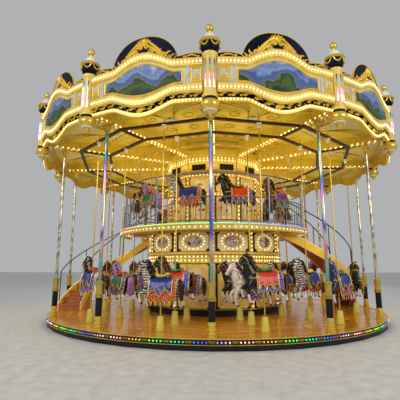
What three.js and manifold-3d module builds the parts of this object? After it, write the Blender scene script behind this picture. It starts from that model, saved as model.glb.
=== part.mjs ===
// Double-deck fairground carousel: twelve bays, a turning platform, horses on rising poles,
// two curved stairs to a ring-shaped upper deck, and curved rounding boards under a conical roof.
// Millimetres, +Z up. The origin is on the ground at the centre, and -Y is the front.
// Every angle is measured from -Y towards +X. Columns stand at multiples of BAY.

import * as THREE from 'three';
import { mergeVertices } from 'three/addons/utils/BufferGeometryUtils.js';
import Module from 'manifold-3d';

const wasm = await Module();
wasm.setup();

// Driving dimensions
const BAYS = 12;
const BAY = 360 / BAYS;
const SEAT = 0.3;                 // gap left where two pieces rest on each other

const DECK_TOP = 220;
const DECK_BOTTOM = 100;
const DECK_RADIUS = 5170;
const COLUMN_RADIUS = 5000;       // circle that the twelve columns stand on
const BOARD_RADIUS = 5600;        // circle of the rounding boards' corner pillars
const SWEEP_BOTTOM = 5000;
const SWEEP_WIDTH = 80;

const LOWER_DRUM_RADIUS = 2230;   // corner radius of the twelve-sided drum
const UPPER_DRUM_RADIUS = 1600;
const UPPER_DECK_TOP = 2710;
const UPPER_DECK_PLATE = 110;
const UPPER_DECK_RADIUS = 3150;
const UPPER_FASCIA_BOTTOM = 2520;
const RAIL_TOP = 4070;

const CEILING_EDGE = { r: 5440, z: 5150 };
const CEILING_EYE = { r: 1645, z: 5500 };
const CEILING_THICKNESS = 30;
const ROOF_EAVES = 5450;
const ROOF_EYE = { r: 700, z: 7150 };
const ROOF_THICKNESS = 40;

const OUTER_ROW = 4400;
const MIDDLE_ROW = 3550;
const INNER_ROW = 2700;
const UPPER_ROW = 2650;
const POLE = 20;                  // pole radius
const POLE_SIDES = 6;
const POLE_CLEARANCE = 0.5;       // running clearance in boots and guides
const STROKE = 110;               // rise and fall from mid-height
const BOOT_TOP = 520;
const HORSE_HEIGHT = 1220;        // barrel centre at mid-stroke
const POLE_FOOT = 330;
const POLE_HEAD = 5110;
const GUIDE_BOTTOM = 4950;
const GUIDE_TOP = SWEEP_BOTTOM - SEAT;

// The right stair winds round a centre of its own, and the left one is its half turn
const STAIR_CENTRE = { x: 2600, y: 900 };
const STAIR_RADIUS = 1900;        // to the middle of the treads
const STAIR_WIDTH = 730;
const STAIR_HEAD = -13;           // degrees about the stair's centre, measured as the bays are
const STAIR_FOOT = 97;
const RISERS = 13;
const STAIR_TURNS = [0, 180];

// Colours and finishes
const finish = (color, roughness, metalness) => new THREE.MeshStandardMaterial({ color, roughness, metalness });
const GOLD = finish('#d8a526', 0.3, 0.6);
const YELLOW = finish('#f0b41e', 0.45, 0);
const CREAM = finish('#f0dfa0', 0.5, 0);
const BLACK = finish('#14141a', 0.45, 0.2);
const WOOD = finish('#a8551c', 0.25, 0);
const NAVY = finish('#1a2c78', 0.35, 0.1);
const RED = finish('#a81c20', 0.4, 0.1);
const GREEN = finish('#2f8f4a', 0.4, 0.1);
const WHITE = finish('#ece8e0', 0.4, 0);
const STEEL = finish('#9aa2ac', 0.35, 0.8);

const carousel = new THREE.Group();

function addPiece(name, geometry, material, angle = 0) {
  const mesh = new THREE.Mesh(geometry, material);
  mesh.name = name;
  mesh.rotation.z = THREE.MathUtils.degToRad(angle);
  carousel.add(mesh);
}

// Closed meshes become solids for joining and cutting, and come back as geometry
function solid(geometry) {
  const bare = geometry.clone();
  bare.deleteAttribute('normal');
  bare.deleteAttribute('uv');
  const welded = mergeVertices(bare, 1e-3);
  const mesh = new wasm.Mesh({
    numProp: 3,
    vertProperties: new Float32Array(welded.attributes.position.array),
    triVerts: new Uint32Array(welded.index.array),
  });
  return new wasm.Manifold(mesh);
}

function geometryOf(body) {
  const mesh = body.getMesh();
  const geometry = new THREE.BufferGeometry();
  geometry.setAttribute('position', new THREE.BufferAttribute(mesh.vertProperties, 3));
  geometry.setIndex(new THREE.BufferAttribute(mesh.triVerts, 1));
  return geometry;
}

function join(geometries) {
  return geometries.map(solid).reduce((whole, next) => whole.add(next));
}

function turned(geometry, angle) {
  return geometry.clone().rotateZ(THREE.MathUtils.degToRad(angle));
}

// A shape of revolution about Z. The profile holds [radius, height] points, first on the axis
// and last on it, or closed on itself. Flat sides face between multiples of 360 / sides.
function lathe(profile, sides) {
  const points = profile.map(([r, z]) => new THREE.Vector2(r, z));
  return new THREE.LatheGeometry(points, sides).rotateX(Math.PI / 2);
}

function ring(profile, sides) {
  return lathe([...profile, profile[0]], sides);
}

function box(xLow, xHigh, yLow, yHigh, zLow, zHigh) {
  const geometry = new THREE.BoxGeometry(xHigh - xLow, yHigh - yLow, zHigh - zLow);
  return geometry.translate((xLow + xHigh) / 2, (yLow + yHigh) / 2, (zLow + zHigh) / 2);
}

function shapeOf(points) {
  return new THREE.Shape(points.map(([x, y]) => new THREE.Vector2(x, y)));
}

// A plate in a radial plane at the front: points are [radius, height], thickness is along X
function radialPlate(points, xLow, xHigh) {
  const geometry = new THREE.ExtrudeGeometry(shapeOf(points), { depth: xHigh - xLow, bevelEnabled: false });
  geometry.rotateX(Math.PI / 2).rotateZ(-Math.PI / 2);
  return geometry.translate(xHigh, 0, 0);
}

// A section of [radius, level] points carried round the axis through the given angles. A level
// is an index into the list of height curves, so the section can swell and dip along the way.
function bentBand(section, heights, angles) {
  const steps = angles.length - 1;
  const geometry = new THREE.ExtrudeGeometry(shapeOf(section), { depth: 1, steps, bevelEnabled: false });
  const position = geometry.attributes.position;
  for (let i = 0; i < position.count; i += 1) {
    const angle = angles[Math.round(position.getZ(i) * steps)];
    const turn = THREE.MathUtils.degToRad(angle);
    const r = position.getX(i);
    const z = heights[Math.round(position.getY(i))](angle);
    position.setXYZ(i, r * Math.sin(turn), -r * Math.cos(turn), z);
  }
  return outward(geometry);
}

function bentBar(rLow, rHigh, zLow, zHigh, angles) {
  const section = [[rLow, 0], [rHigh, 0], [rHigh, 1], [rLow, 1]];
  return bentBand(section, [() => zLow, () => zHigh], angles);
}

// Turns every face over when the mapping has put the solid inside out
function outward(geometry) {
  if (solid(geometry).volume() >= 0) return geometry;
  const position = geometry.attributes.position;
  const swapped = position.clone();
  for (let i = 0; i < position.count; i += 3) {
    for (const [to, from] of [[0, 0], [1, 2], [2, 1]]) {
      swapped.setXYZ(i + to, position.getX(i + from), position.getY(i + from), position.getZ(i + from));
    }
  }
  geometry.setAttribute('position', swapped);
  return geometry;
}

function anglesBetween(low, high, steps) {
  return Array.from({ length: steps + 1 }, (unused, i) => low + ((high - low) * i) / steps);
}

const columnAngles = Array.from({ length: BAYS }, (unused, k) => k * BAY);
const bayAngles = columnAngles.map((angle) => angle + BAY / 2);
// The stairs take the outer places of two bays and the other places of the bays before them
const outerBays = bayAngles.filter((angle) => angle !== 105 && angle !== 285);
const innerBays = bayAngles.filter((angle) => angle !== 75 && angle !== 255);

// Ground frame: kerb ring, radial sills and the pad and pin of the centre bearing
const KERB = { rLow: 5000, rHigh: 5150, top: 92 };
const SILL = { width: 110, top: 70 };
const PAD_RADIUS = 620;
const PIN = { radius: 140, hole: 150, top: 205 };

function groundFrame() {
  const kerb = ring([[KERB.rLow, 0], [KERB.rHigh, 0], [KERB.rHigh, KERB.top], [KERB.rLow, KERB.top]], 36);
  const sill = box(-SILL.width / 2, SILL.width / 2, -KERB.rLow - 10, -PAD_RADIUS + 60, 0, SILL.top);
  const pad = lathe([[0, 0], [PAD_RADIUS, 0], [PAD_RADIUS, DECK_BOTTOM - SEAT],
    [PIN.radius, DECK_BOTTOM - SEAT], [PIN.radius, PIN.top], [0, PIN.top]], 24);
  return geometryOf(join([kerb, pad, ...columnAngles.map((angle) => turned(sill, angle))]));
}
addPiece('base_frame', groundFrame(), BLACK);

// Lower deck: a thick floor with a tapered boot round the foot of every pole
const BOOT = { foot: 95, head: 66 };
const LIP = { width: 50, rise: 25 };

function lowerDeck() {
  const lip = DECK_RADIUS - LIP.width;
  const floor = ring([[PIN.hole, DECK_BOTTOM], [DECK_RADIUS, DECK_BOTTOM], [DECK_RADIUS, DECK_TOP + LIP.rise],
    [lip, DECK_TOP + LIP.rise], [lip, DECK_TOP], [PIN.hole, DECK_TOP]], 48);
  const boot = lathe([[0, DECK_TOP - 20], [BOOT.foot, DECK_TOP - 20], [BOOT.head, BOOT_TOP], [0, BOOT_TOP]],
    POLE_SIDES);
  const bore = new THREE.CylinderGeometry(POLE + POLE_CLEARANCE, POLE + POLE_CLEARANCE, BOOT_TOP,
    POLE_SIDES);
  bore.rotateX(Math.PI / 2).translate(0, 0, BOOT_TOP / 2 + 50);
  const places = [...outerBays.map((angle) => [OUTER_ROW, angle]),
    ...innerBays.flatMap((angle) => [[MIDDLE_ROW, angle], [INNER_ROW, angle]])];
  const placed = (piece) => places.map(([r, angle]) => turned(piece.clone().translate(0, -r, 0), angle));
  return geometryOf(join([floor, ...placed(boot)]).subtract(join(placed(bore))));
}
addPiece('lower_deck', lowerDeck(), WOOD);

// Twelve columns: moulded foot, dark band, gold casing, mirror tube and capital
const COLUMN_PROFILE = [[90, 0], [64, 300], [66, 1030], [41, 1060], [41, 4330]];

function column() {
  const top = SWEEP_BOTTOM - SEAT;
  const profile = COLUMN_PROFILE.map(([r, z]) => [r, z + DECK_TOP + SEAT]);
  return lathe([[0, DECK_TOP + SEAT], ...profile, [95, top], [0, top]], 8).translate(0, -COLUMN_RADIUS, 0);
}
columnAngles.forEach((angle, k) => addPiece(`column_${k + 1}`, column(), GOLD, angle));

// Rounding boards: each is a curved panel with a swell in the middle, a scalloped valance below
// and an arched cresting above, joined to the ornamental pillar and urn at its left corner.
const SWELL_HALF = 7;             // degrees from mid-bay to where the mouldings run level
const ARCH_HALF = 7.95;
const FACE = { back: 5520, thin: 5570, panel: 5635 };
const MOULDING = 55;              // half the height of a bulb moulding
const PILLAR_HALF = 1.44;         // degrees kept free for the next board's pillar
const level = (z) => z + DECK_TOP;

function swell(low, high) {
  return (angle) => {
    const share = Math.abs(angle) < SWELL_HALF ? (1 + Math.cos((Math.PI * angle) / SWELL_HALF)) / 2 : 0;
    return level(low + (high - low) * share);
  };
}

const crestingLow = 5780;
const crestingRise = 520;
const crestingTop = (angle) => {
  const reach = Math.min(1, Math.abs(angle) / ARCH_HALF);
  return level(crestingLow + crestingRise * Math.sqrt(1 - reach * reach));
};
const boardHeights = [swell(4650, 4430), swell(4945 - MOULDING, 4740 - MOULDING),
  swell(5520 + MOULDING, 5770 + MOULDING), crestingTop];
const boardSection = [[FACE.back, 0], [FACE.thin, 0], [FACE.thin, 1], [FACE.panel, 1], [FACE.panel, 2],
  [FACE.thin, 2], [FACE.thin, 3], [FACE.back, 3]];

function boardAngles() {
  const arch = [-90, -60, -30, 0, 30, 60, 90].map((a) => ARCH_HALF * Math.sin(THREE.MathUtils.degToRad(a)));
  return [-BAY / 2, -8.3, ...arch, 8.3, BAY / 2 - PILLAR_HALF];
}

// Pillar heights are above the lower deck: drop finial, shaft, capital, urn, dome and ball
const PILLAR_SHAFT = 140;
const PILLAR_PROFILE = [[0, 4380], [155, 4580], [125, 4650], [PILLAR_SHAFT, 4770], [PILLAR_SHAFT, 5690],
  [75, 5720], [250, 6060],
  [110, 6160], [88, 6360], [0, 6460]];

function board() {
  const panel = bentBand(boardSection, boardHeights, boardAngles());
  const pillar = lathe(PILLAR_PROFILE.map(([r, z]) => [r, level(z)]), 8).translate(0, -BOARD_RADIUS, 0);
  return geometryOf(join([panel, turned(pillar, -BAY / 2)]));
}
bayAngles.forEach((angle, k) => addPiece(`rounding_board_${k + 1}`, board(), YELLOW, angle));

// Canopy frame: twelve sweeps that start from a hub ring round the drum
function ceilingBottom(r) {
  const share = (CEILING_EDGE.r - r) / (CEILING_EDGE.r - CEILING_EYE.r);
  return CEILING_EDGE.z + share * (CEILING_EYE.z - CEILING_EDGE.z);
}
const SWEEP = { rLow: UPPER_DRUM_RADIUS + SEAT, rHigh: BOARD_RADIUS - PILLAR_SHAFT - SEAT };
const RIDGE_EASE = 0.5;           // the ceiling's facets fall away by this at a sweep's edges
const HUB = { width: 100, height: 200 };

function canopyFrame() {
  const crown = (r) => ceilingBottom(r) - SEAT - RIDGE_EASE;
  const sweep = radialPlate([[SWEEP.rLow, SWEEP_BOTTOM], [SWEEP.rHigh, SWEEP_BOTTOM],
    [SWEEP.rHigh, crown(SWEEP.rHigh)], [SWEEP.rLow, crown(SWEEP.rLow)]], -SWEEP_WIDTH / 2, SWEEP_WIDTH / 2);
  const [hubLow, hubHigh] = [SWEEP.rLow, SWEEP.rLow + HUB.width];
  const hub = ring([[hubLow, SWEEP_BOTTOM], [hubHigh, SWEEP_BOTTOM], [hubHigh, SWEEP_BOTTOM + HUB.height],
    [hubLow, SWEEP_BOTTOM + HUB.height]], BAYS);
  return geometryOf(join([hub, ...columnAngles.map((angle) => turned(sweep, angle))]));
}
addPiece('canopy_frame', canopyFrame(), GOLD);

// Guide rings: two ring beams, tied together under every sweep, that guide the rising poles
const GUIDE_WIDTH = 90;

function guideRing(radius) {
  const inner = (radius - GUIDE_WIDTH / 2) / Math.cos(Math.PI / BAYS);
  const outer = (radius + GUIDE_WIDTH / 2) / Math.cos(Math.PI / BAYS);
  return [inner, outer];
}

function guideBeam(radius) {
  const [inner, outer] = guideRing(radius);
  return ring([[inner, GUIDE_BOTTOM], [outer, GUIDE_BOTTOM], [outer, GUIDE_TOP], [inner, GUIDE_TOP]], BAYS);
}

function guideRings() {
  const bore = new THREE.CylinderGeometry(POLE + POLE_CLEARANCE, POLE + POLE_CLEARANCE, 200, POLE_SIDES);
  bore.rotateX(Math.PI / 2).translate(0, 0, GUIDE_TOP);
  const rows = [[OUTER_ROW, outerBays], [MIDDLE_ROW, innerBays]];
  const bores = rows.flatMap(([radius, bays]) => bays
    .map((angle) => turned(bore.clone().translate(0, -radius, 0), angle)));
  const [from, to] = [guideRing(MIDDLE_ROW)[0] + 20, guideRing(OUTER_ROW)[1] - 20];
  const tie = box(-SWEEP_WIDTH / 2, SWEEP_WIDTH / 2, -to, -from, GUIDE_BOTTOM, GUIDE_TOP);
  const beams = rows.map(([radius]) => guideBeam(radius));
  const rings = join([...beams, ...columnAngles.map((angle) => turned(tie, angle))]);
  return geometryOf(rings.subtract(join(bores)));
}
addPiece('guide_rings', guideRings(), BLACK);

// Ceiling and roof: two conical shells of revolution, the roof standing on the ceiling's edge and
// closed by a turned crown
const CONE_SIDES = 2 * BAYS;

function ceiling() {
  const { r: edge, z: edgeZ } = CEILING_EDGE;
  const { r: eye, z: eyeZ } = CEILING_EYE;
  return ring([[eye, eyeZ], [edge, edgeZ], [edge, edgeZ + CEILING_THICKNESS], [eye, eyeZ + CEILING_THICKNESS]],
    CONE_SIDES);
}
addPiece('ceiling', ceiling(), YELLOW);

const CROWN_PROFILE = [[760, 0], [760, 90], [520, 140], [560, 260], [400, 420], [120, 540], [80, 640], [150, 740]];
const CROWN_TOP = 850;

function roof() {
  const foot = (r) => ceilingBottom(r) + CEILING_THICKNESS + SEAT;
  const outer = CEILING_EDGE.r;
  const inner = outer - ROOF_THICKNESS;
  const crown = CROWN_PROFILE.map(([r, z]) => [r, z + ROOF_EYE.z]);
  return lathe([[0, ROOF_EYE.z - ROOF_THICKNESS], [ROOF_EYE.r, ROOF_EYE.z - ROOF_THICKNESS],
    [inner, ROOF_EAVES - ROOF_THICKNESS], [inner, foot(inner)], [outer, foot(outer)], [outer, ROOF_EAVES],
    [ROOF_EYE.r, ROOF_EYE.z], ...crown, [0, ROOF_EYE.z + CROWN_TOP]], CONE_SIDES);
}
addPiece('roof', roof(), CREAM);

// Drums: twelve-sided walls, the lower one with a ledge, the upper one with a cornice
const DRUM_WALL = 100;
const UPPER_DECK_BOTTOM = UPPER_DECK_TOP - UPPER_DECK_PLATE;

function lowerDrum() {
  const outer = LOWER_DRUM_RADIUS;
  return ring([[outer - DRUM_WALL, DECK_TOP + SEAT], [outer, DECK_TOP + SEAT], [outer, level(1700)],
    [outer + 55, level(1700)], [outer + 55, level(1760)], [outer, level(1760)],
    [outer, UPPER_DECK_BOTTOM - SEAT], [outer - DRUM_WALL, UPPER_DECK_BOTTOM - SEAT]], BAYS);
}
addPiece('lower_drum', lowerDrum(), CREAM);

function upperDrum() {
  const outer = UPPER_DRUM_RADIUS;
  return ring([[outer - DRUM_WALL, UPPER_DECK_TOP + SEAT], [outer, UPPER_DECK_TOP + SEAT], [outer, level(4240)],
    [outer + 120, level(4300)], [outer + 120, level(4460)], [outer, level(4520)],
    [outer, CEILING_EYE.z + CEILING_THICKNESS], [outer - DRUM_WALL, CEILING_EYE.z + CEILING_THICKNESS]], BAYS);
}
addPiece('upper_drum', upperDrum(), CREAM);

// Upper deck: a ring floor with a deeper fascia at its edge and a notch over the head of each stair
const NOTCH_EASE = 20;
const NOTCH_END = 60;             // degrees about the stair's centre, well past the deck's edge
const stairLow = STAIR_RADIUS - STAIR_WIDTH / 2;
const stairHigh = STAIR_RADIUS + STAIR_WIDTH / 2;

function upperDeck() {
  const floor = ring([[1250, UPPER_DECK_BOTTOM], [3080, UPPER_DECK_BOTTOM], [3080, UPPER_FASCIA_BOTTOM],
    [UPPER_DECK_RADIUS, UPPER_FASCIA_BOTTOM], [UPPER_DECK_RADIUS, UPPER_DECK_TOP], [1250, UPPER_DECK_TOP]], 24);
  const notch = bentBar(stairLow - NOTCH_EASE, stairHigh + NOTCH_EASE, UPPER_FASCIA_BOTTOM - 50,
    UPPER_DECK_TOP + 50, anglesBetween(STAIR_HEAD, NOTCH_END, 8)).translate(STAIR_CENTRE.x, STAIR_CENTRE.y, 0);
  return geometryOf(solid(floor).subtract(join(STAIR_TURNS.map((angle) => turned(notch, angle)))));
}
addPiece('upper_deck', upperDeck(), WOOD);

// Railings of the upper deck: two alike under a half turn, open at the stairs
const RAIL = { rLow: 3075, rHigh: 3125, half: 30 };
const RAIL_FROM = 81.2 - 180;     // degrees where a railing stops beside a stair
const RAIL_TO = 62;

function railing(low, high, steps) {
  const angles = anglesBetween(low, high, steps);
  const bars = [[RAIL_TOP - 50, RAIL_TOP], [3400, 3430], [2760, 2795]]
    .map(([zLow, zHigh]) => bentBar(RAIL.rLow, RAIL.rHigh, zLow, zHigh, angles));
  const post = box(-RAIL.half, RAIL.half, -RAIL.rHigh, -RAIL.rLow, UPPER_DECK_TOP + SEAT, RAIL_TOP - 5);
  const inside = columnAngles.concat(columnAngles.map((a) => a - 360)).filter((a) => a > low && a < high);
  const posts = [low + 0.6, ...inside, high - 0.6].map((angle) => turned(post, angle));
  return geometryOf(join([...bars, ...posts]));
}
addPiece('railing_front', railing(RAIL_FROM, RAIL_TO, 12), STEEL);
addPiece('railing_back', railing(RAIL_FROM + 180, RAIL_TO + 180, 12), STEEL);

// Stairs: curved flights with deep bent stringers, solid wedge treads and handrails on posts
const RISE = (UPPER_DECK_TOP - DECK_TOP) / RISERS;
const GOING = (STAIR_FOOT - STAIR_HEAD) / (RISERS - 1);
const STRINGER = { thick: 45, above: 20, deep: 244 };
const TREAD_DEPTH = 230;
const PANEL_FROM = 70;            // past this angle the sides are closed down to the deck
const HANDRAIL = { high: 950, half: 18, post: 15 };
const HANDRAIL_POSTS = [94.5, 60, 26, -9];
const HEAD_SEAT = 0.01;           // degrees kept free between a flight and the notch's end

function flight() {
  const foot = DECK_TOP + SEAT;
  const nosing = (angle) => DECK_TOP + RISE * (1 + (STAIR_FOOT - angle) / GOING);
  const raised = (rise) => (angle) => Math.max(foot, nosing(angle) + rise);
  const underside = (angle) => (angle > PANEL_FROM ? foot : raised(-STRINGER.deep)(angle));
  const head = STAIR_HEAD + HEAD_SEAT;
  const along = anglesBetween(head, STAIR_FOOT, 16);
  const band = (low, high, bottom, top, angles) => bentBand([[low, 0], [high, 0], [high, 1], [low, 1]],
    [bottom, top], angles);
  const lap = 0.2;
  const parts = Array.from({ length: RISERS - 1 }, (unused, i) => {
    const z = DECK_TOP + RISE * (i + 1);
    const [low, high] = [Math.max(head, STAIR_FOOT - GOING * (i + 1) - lap), STAIR_FOOT - GOING * i];
    return bentBar(stairLow + 5, stairHigh - 5, Math.max(foot, z - TREAD_DEPTH), z, [low, high]);
  });
  for (const low of [stairLow, stairHigh - STRINGER.thick]) {
    const middle = low + STRINGER.thick / 2;
    const { half, high, post } = HANDRAIL;
    parts.push(band(low, low + STRINGER.thick, underside, raised(STRINGER.above), along));
    parts.push(band(middle - half, middle + half, raised(high - half), raised(high + half),
      anglesBetween(HANDRAIL_POSTS[3], HANDRAIL_POSTS[0], 12)));
    for (const angle of HANDRAIL_POSTS) {
      const upright = box(-post, post, -middle - post, -middle + post, nosing(angle) - 30, nosing(angle) + high);
      parts.push(turned(upright, angle));
    }
  }
  return geometryOf(join(parts)).translate(STAIR_CENTRE.x, STAIR_CENTRE.y, 0);
}
const [rightStair, leftStair] = STAIR_TURNS.map((angle) => turned(flight(), angle));
addPiece('stair_left', leftStair, GOLD);
addPiece('stair_right', rightStair, GOLD);

// Horses: a flat side outline for head, legs and tail with a round barrel through it. X is
// forward along the travel and the pole stands on the origin of the outline.
const HORSE_OUTLINE = [[100, 120], [335, 560], [545, 345], [495, 285], [370, 340], [310, -60], [440, -130],
  [400, -395], [325, -395], [345, -190], [150, -120], [-220, -120], [-380, -400], [-460, -400], [-400, -80],
  [-560, -220], [-590, -170], [-440, 130]];
const HORSE_SLAB = 120;
const BARREL_PROFILE = [[0, -400], [135, -330], [175, -60], [165, 190], [0, 340]];

function horse(zCentre, poleFoot, poleHead, radius) {
  const slab = new THREE.ExtrudeGeometry(shapeOf(HORSE_OUTLINE), { depth: HORSE_SLAB, bevelEnabled: false });
  slab.rotateX(Math.PI / 2).translate(0, HORSE_SLAB / 2, 0);
  const barrel = lathe(BARREL_PROFILE, 6).rotateY(Math.PI / 2);
  const pole = new THREE.CylinderGeometry(POLE, POLE, poleHead - poleFoot, POLE_SIDES);
  pole.rotateX(Math.PI / 2).translate(0, 0, (poleHead + poleFoot) / 2 - zCentre);
  const parts = [slab, barrel].map((part) => part.rotateZ(Math.PI));
  return [...parts, pole].map((part) => part.translate(0, -radius, zCentre));
}

// Each bay's two cranks stand opposite each other, so the middle horse falls as the outer rises
const CRANK_START = 35;
const crankRise = (k) => STROKE * 0.8 * Math.sin(THREE.MathUtils.degToRad(CRANK_START + k * 75));
const bayNumber = (angle) => bayAngles.indexOf(angle) + 1;
const HORSE_COLOURS = [NAVY, RED, GREEN, WHITE];

function risingHorse(angle, radius, rise) {
  const parts = horse(HORSE_HEIGHT + rise, POLE_FOOT + rise, POLE_HEAD + rise, radius);
  return turned(geometryOf(join(parts)), angle);
}
for (const angle of outerBays) {
  const k = bayNumber(angle);
  addPiece(`outer_horse_${k}`, risingHorse(angle, OUTER_ROW, crankRise(k)), HORSE_COLOURS[k % 4]);
}
for (const angle of innerBays) {
  const k = bayNumber(angle);
  addPiece(`middle_horse_${k}`, risingHorse(angle, MIDDLE_ROW, -crankRise(k)), HORSE_COLOURS[(k + 2) % 4]);
}

// Standing rows: fixed horses on poles hung from a hoop under the upper deck, and from another
// hoop under the sweeps
const INNER_RING = { rLow: 2245, rHigh: 2305, depth: 60 };
const STANDING_HEIGHT = 1150;

function innerRow() {
  const top = UPPER_DECK_BOTTOM - SEAT;
  const bottom = top - INNER_RING.depth;
  const hoop = ring([[INNER_RING.rLow, bottom], [INNER_RING.rHigh, bottom], [INNER_RING.rHigh, top],
    [INNER_RING.rLow, top]], 24);
  const arm = box(-30, 30, -INNER_ROW - 30, -INNER_RING.rLow - 20, bottom, top);
  const rider = join([...horse(STANDING_HEIGHT, POLE_FOOT, top - 5, INNER_ROW), arm]);
  const riders = innerBays.map((angle) => turned(geometryOf(rider), angle));
  return geometryOf(join([hoop, ...riders]));
}
addPiece('inner_row', innerRow(), WHITE);

// The upper hoop is in two halves that meet at the front and back columns
const HOOP_HALF = { from: 0.005, to: 179.995, steps: BAYS / 2, depth: 50 };

function upperRow(side) {
  const top = SWEEP_BOTTOM - SEAT;
  const [rLow, rHigh] = guideRing(UPPER_ROW);
  const half = anglesBetween(HOOP_HALF.from, HOOP_HALF.to, HOOP_HALF.steps).map((angle) => side * angle);
  const hoop = bentBar(rLow, rHigh, top - HOOP_HALF.depth, top, half);
  const rider = join(horse(UPPER_DECK_TOP + 850, UPPER_DECK_TOP + SEAT, top - 5, UPPER_ROW));
  const bays = innerBays.filter((angle) => side * (180 - angle) > 0);
  return geometryOf(join([hoop, ...bays.map((angle) => turned(geometryOf(rider), angle))]));
}
addPiece('upper_row_right', upperRow(1), WHITE);
addPiece('upper_row_left', upperRow(-1), WHITE);

export default carousel;
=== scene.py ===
"""Double-deck fairground carousel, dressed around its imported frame. Metres, +Z up, -Y at the front."""

import math

import bmesh
import bpy
from mathutils import Matrix, Vector


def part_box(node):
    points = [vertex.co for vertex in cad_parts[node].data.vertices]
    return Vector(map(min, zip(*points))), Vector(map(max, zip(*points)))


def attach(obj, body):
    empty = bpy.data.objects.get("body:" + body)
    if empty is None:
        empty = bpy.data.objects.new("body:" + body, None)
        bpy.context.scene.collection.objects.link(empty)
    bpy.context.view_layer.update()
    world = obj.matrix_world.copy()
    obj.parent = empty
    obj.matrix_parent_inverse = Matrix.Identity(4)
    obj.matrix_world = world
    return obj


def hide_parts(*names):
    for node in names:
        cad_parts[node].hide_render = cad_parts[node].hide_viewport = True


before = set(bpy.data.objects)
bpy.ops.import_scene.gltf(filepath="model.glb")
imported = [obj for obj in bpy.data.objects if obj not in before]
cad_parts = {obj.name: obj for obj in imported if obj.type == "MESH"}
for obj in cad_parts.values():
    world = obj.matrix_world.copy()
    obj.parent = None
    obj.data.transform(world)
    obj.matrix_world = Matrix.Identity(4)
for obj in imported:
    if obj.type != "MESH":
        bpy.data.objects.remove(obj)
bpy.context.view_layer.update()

# Camera: eye height 1.42 m above the deck, a little right of the front column, tilted up ten
# degrees. Floor: a plain pale sheet. Light: a broad soft sky, large soft panels, and the warm
# light of the machine's own lamps, which falls from the canopy and washes the ceiling.
DECK = 0.22
EYE = Vector((0.117, -12.254, 1.42 + DECK))
HEADING = math.atan2(0.0483, 0.9988)
TILT = math.radians(10.32)

camera_data = bpy.data.cameras.new("photo_camera")
camera_data.lens = 31.68
camera_data.sensor_width = 36
camera_data.clip_end = 200
camera = bpy.data.objects.new("photo_camera", camera_data)
camera.location = EYE
camera.rotation_euler = (math.pi / 2 + TILT, 0, HEADING)
bpy.context.scene.collection.objects.link(camera)
bpy.context.scene.camera = camera


def soft_panel(name, place, aim, size, power, colour, shape="RECTANGLE"):
    """A large soft lamp aimed at a point."""
    lamp = bpy.data.lights.new(name, "AREA")
    lamp.shape = shape
    lamp.size, lamp.size_y = size
    lamp.energy = power
    lamp.color = colour
    obj = bpy.data.objects.new(name, lamp)
    obj.location = place
    obj.rotation_euler = (Vector(aim) - Vector(place)).to_track_quat("-Z", "Y").to_euler()
    bpy.context.scene.collection.objects.link(obj)
    return obj


WARM = (1, 0.84, 0.5)
soft_panel("front_left_panel", (-9, -15, 9), (0, 0, 3.5), (9, 6), 780, (1, 0.98, 0.93))
soft_panel("front_right_panel", (10, -13, 7), (0, 0, 3.5), (8, 6), 550, (1, 0.98, 0.95))
soft_panel("back_panel", (2, 16, 10), (0, 0, 4), (10, 6), 700, (1, 0.98, 0.94))
for name, height, aim, power in (("canopy_wash", 4.6, 9, 190), ("canopy_light", 4.9, 0, 250),
                                 ("lower_light", 2.45, 0, 80)):
    glow = soft_panel(name, (0, 0, height), (0, 0, aim), (9.4, 9.4), power, WARM, "DISK")
    glow.visible_camera = glow.visible_glossy = False
world = bpy.data.worlds.new("soft_sky")
world.use_nodes = True
world.node_tree.nodes["Background"].inputs["Color"].default_value = (0.87, 0.88, 0.9, 1)
world.node_tree.nodes["Background"].inputs["Strength"].default_value = 0.5
bpy.context.scene.world = world
bpy.context.scene.view_settings.view_transform = "Standard"

floor_mesh = bmesh.new()
bmesh.ops.create_grid(floor_mesh, x_segments=1, y_segments=1, size=60)


def piece(name, bm, *materials, sharp=35):
    """Makes the finished mesh an object at the origin, smooth except along its sharp edges."""
    mesh = bpy.data.meshes.new(name)
    bm.to_mesh(mesh)
    bm.free()
    for material in materials:
        mesh.materials.append(material)
    mesh.shade_smooth()
    mesh.set_sharp_from_angle(angle=math.radians(sharp))
    obj = bpy.data.objects.new(name, mesh)
    bpy.context.scene.collection.objects.link(obj)
    return obj


def add_node(tree, kind, values=None, links=None, **settings):
    """A shader node with its settings, and its sockets set to values or linked from other nodes."""
    node = tree.nodes.new("ShaderNode" + kind)
    for setting, value in settings.items():
        setattr(node, setting, value)
    for socket, value in (values or {}).items():
        node.inputs[socket].default_value = value
    for socket, source in (links or {}).items():
        tree.links.new(source, node.inputs[socket])
    return node


def shade_ramp(tree, source, shades):
    """The colours met along a socket's value, from (position, colour) pairs."""
    ramp = add_node(tree, "ValToRGB", links={"Fac": source})
    stops = ramp.color_ramp.elements
    stops[0].position, stops[1].position = shades[0][0], shades[-1][0]
    for spot, shade in shades[1:-1]:
        stops.new(spot)
    for stop, (spot, shade) in zip(stops, shades):
        stop.color = (*shade, 1)
    return ramp.outputs["Color"]


def opened(material):
    """A material with its node tree and the sockets of its shader."""
    material.use_nodes = True
    return material, material.node_tree, material.node_tree.nodes["Principled BSDF"].inputs


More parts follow.
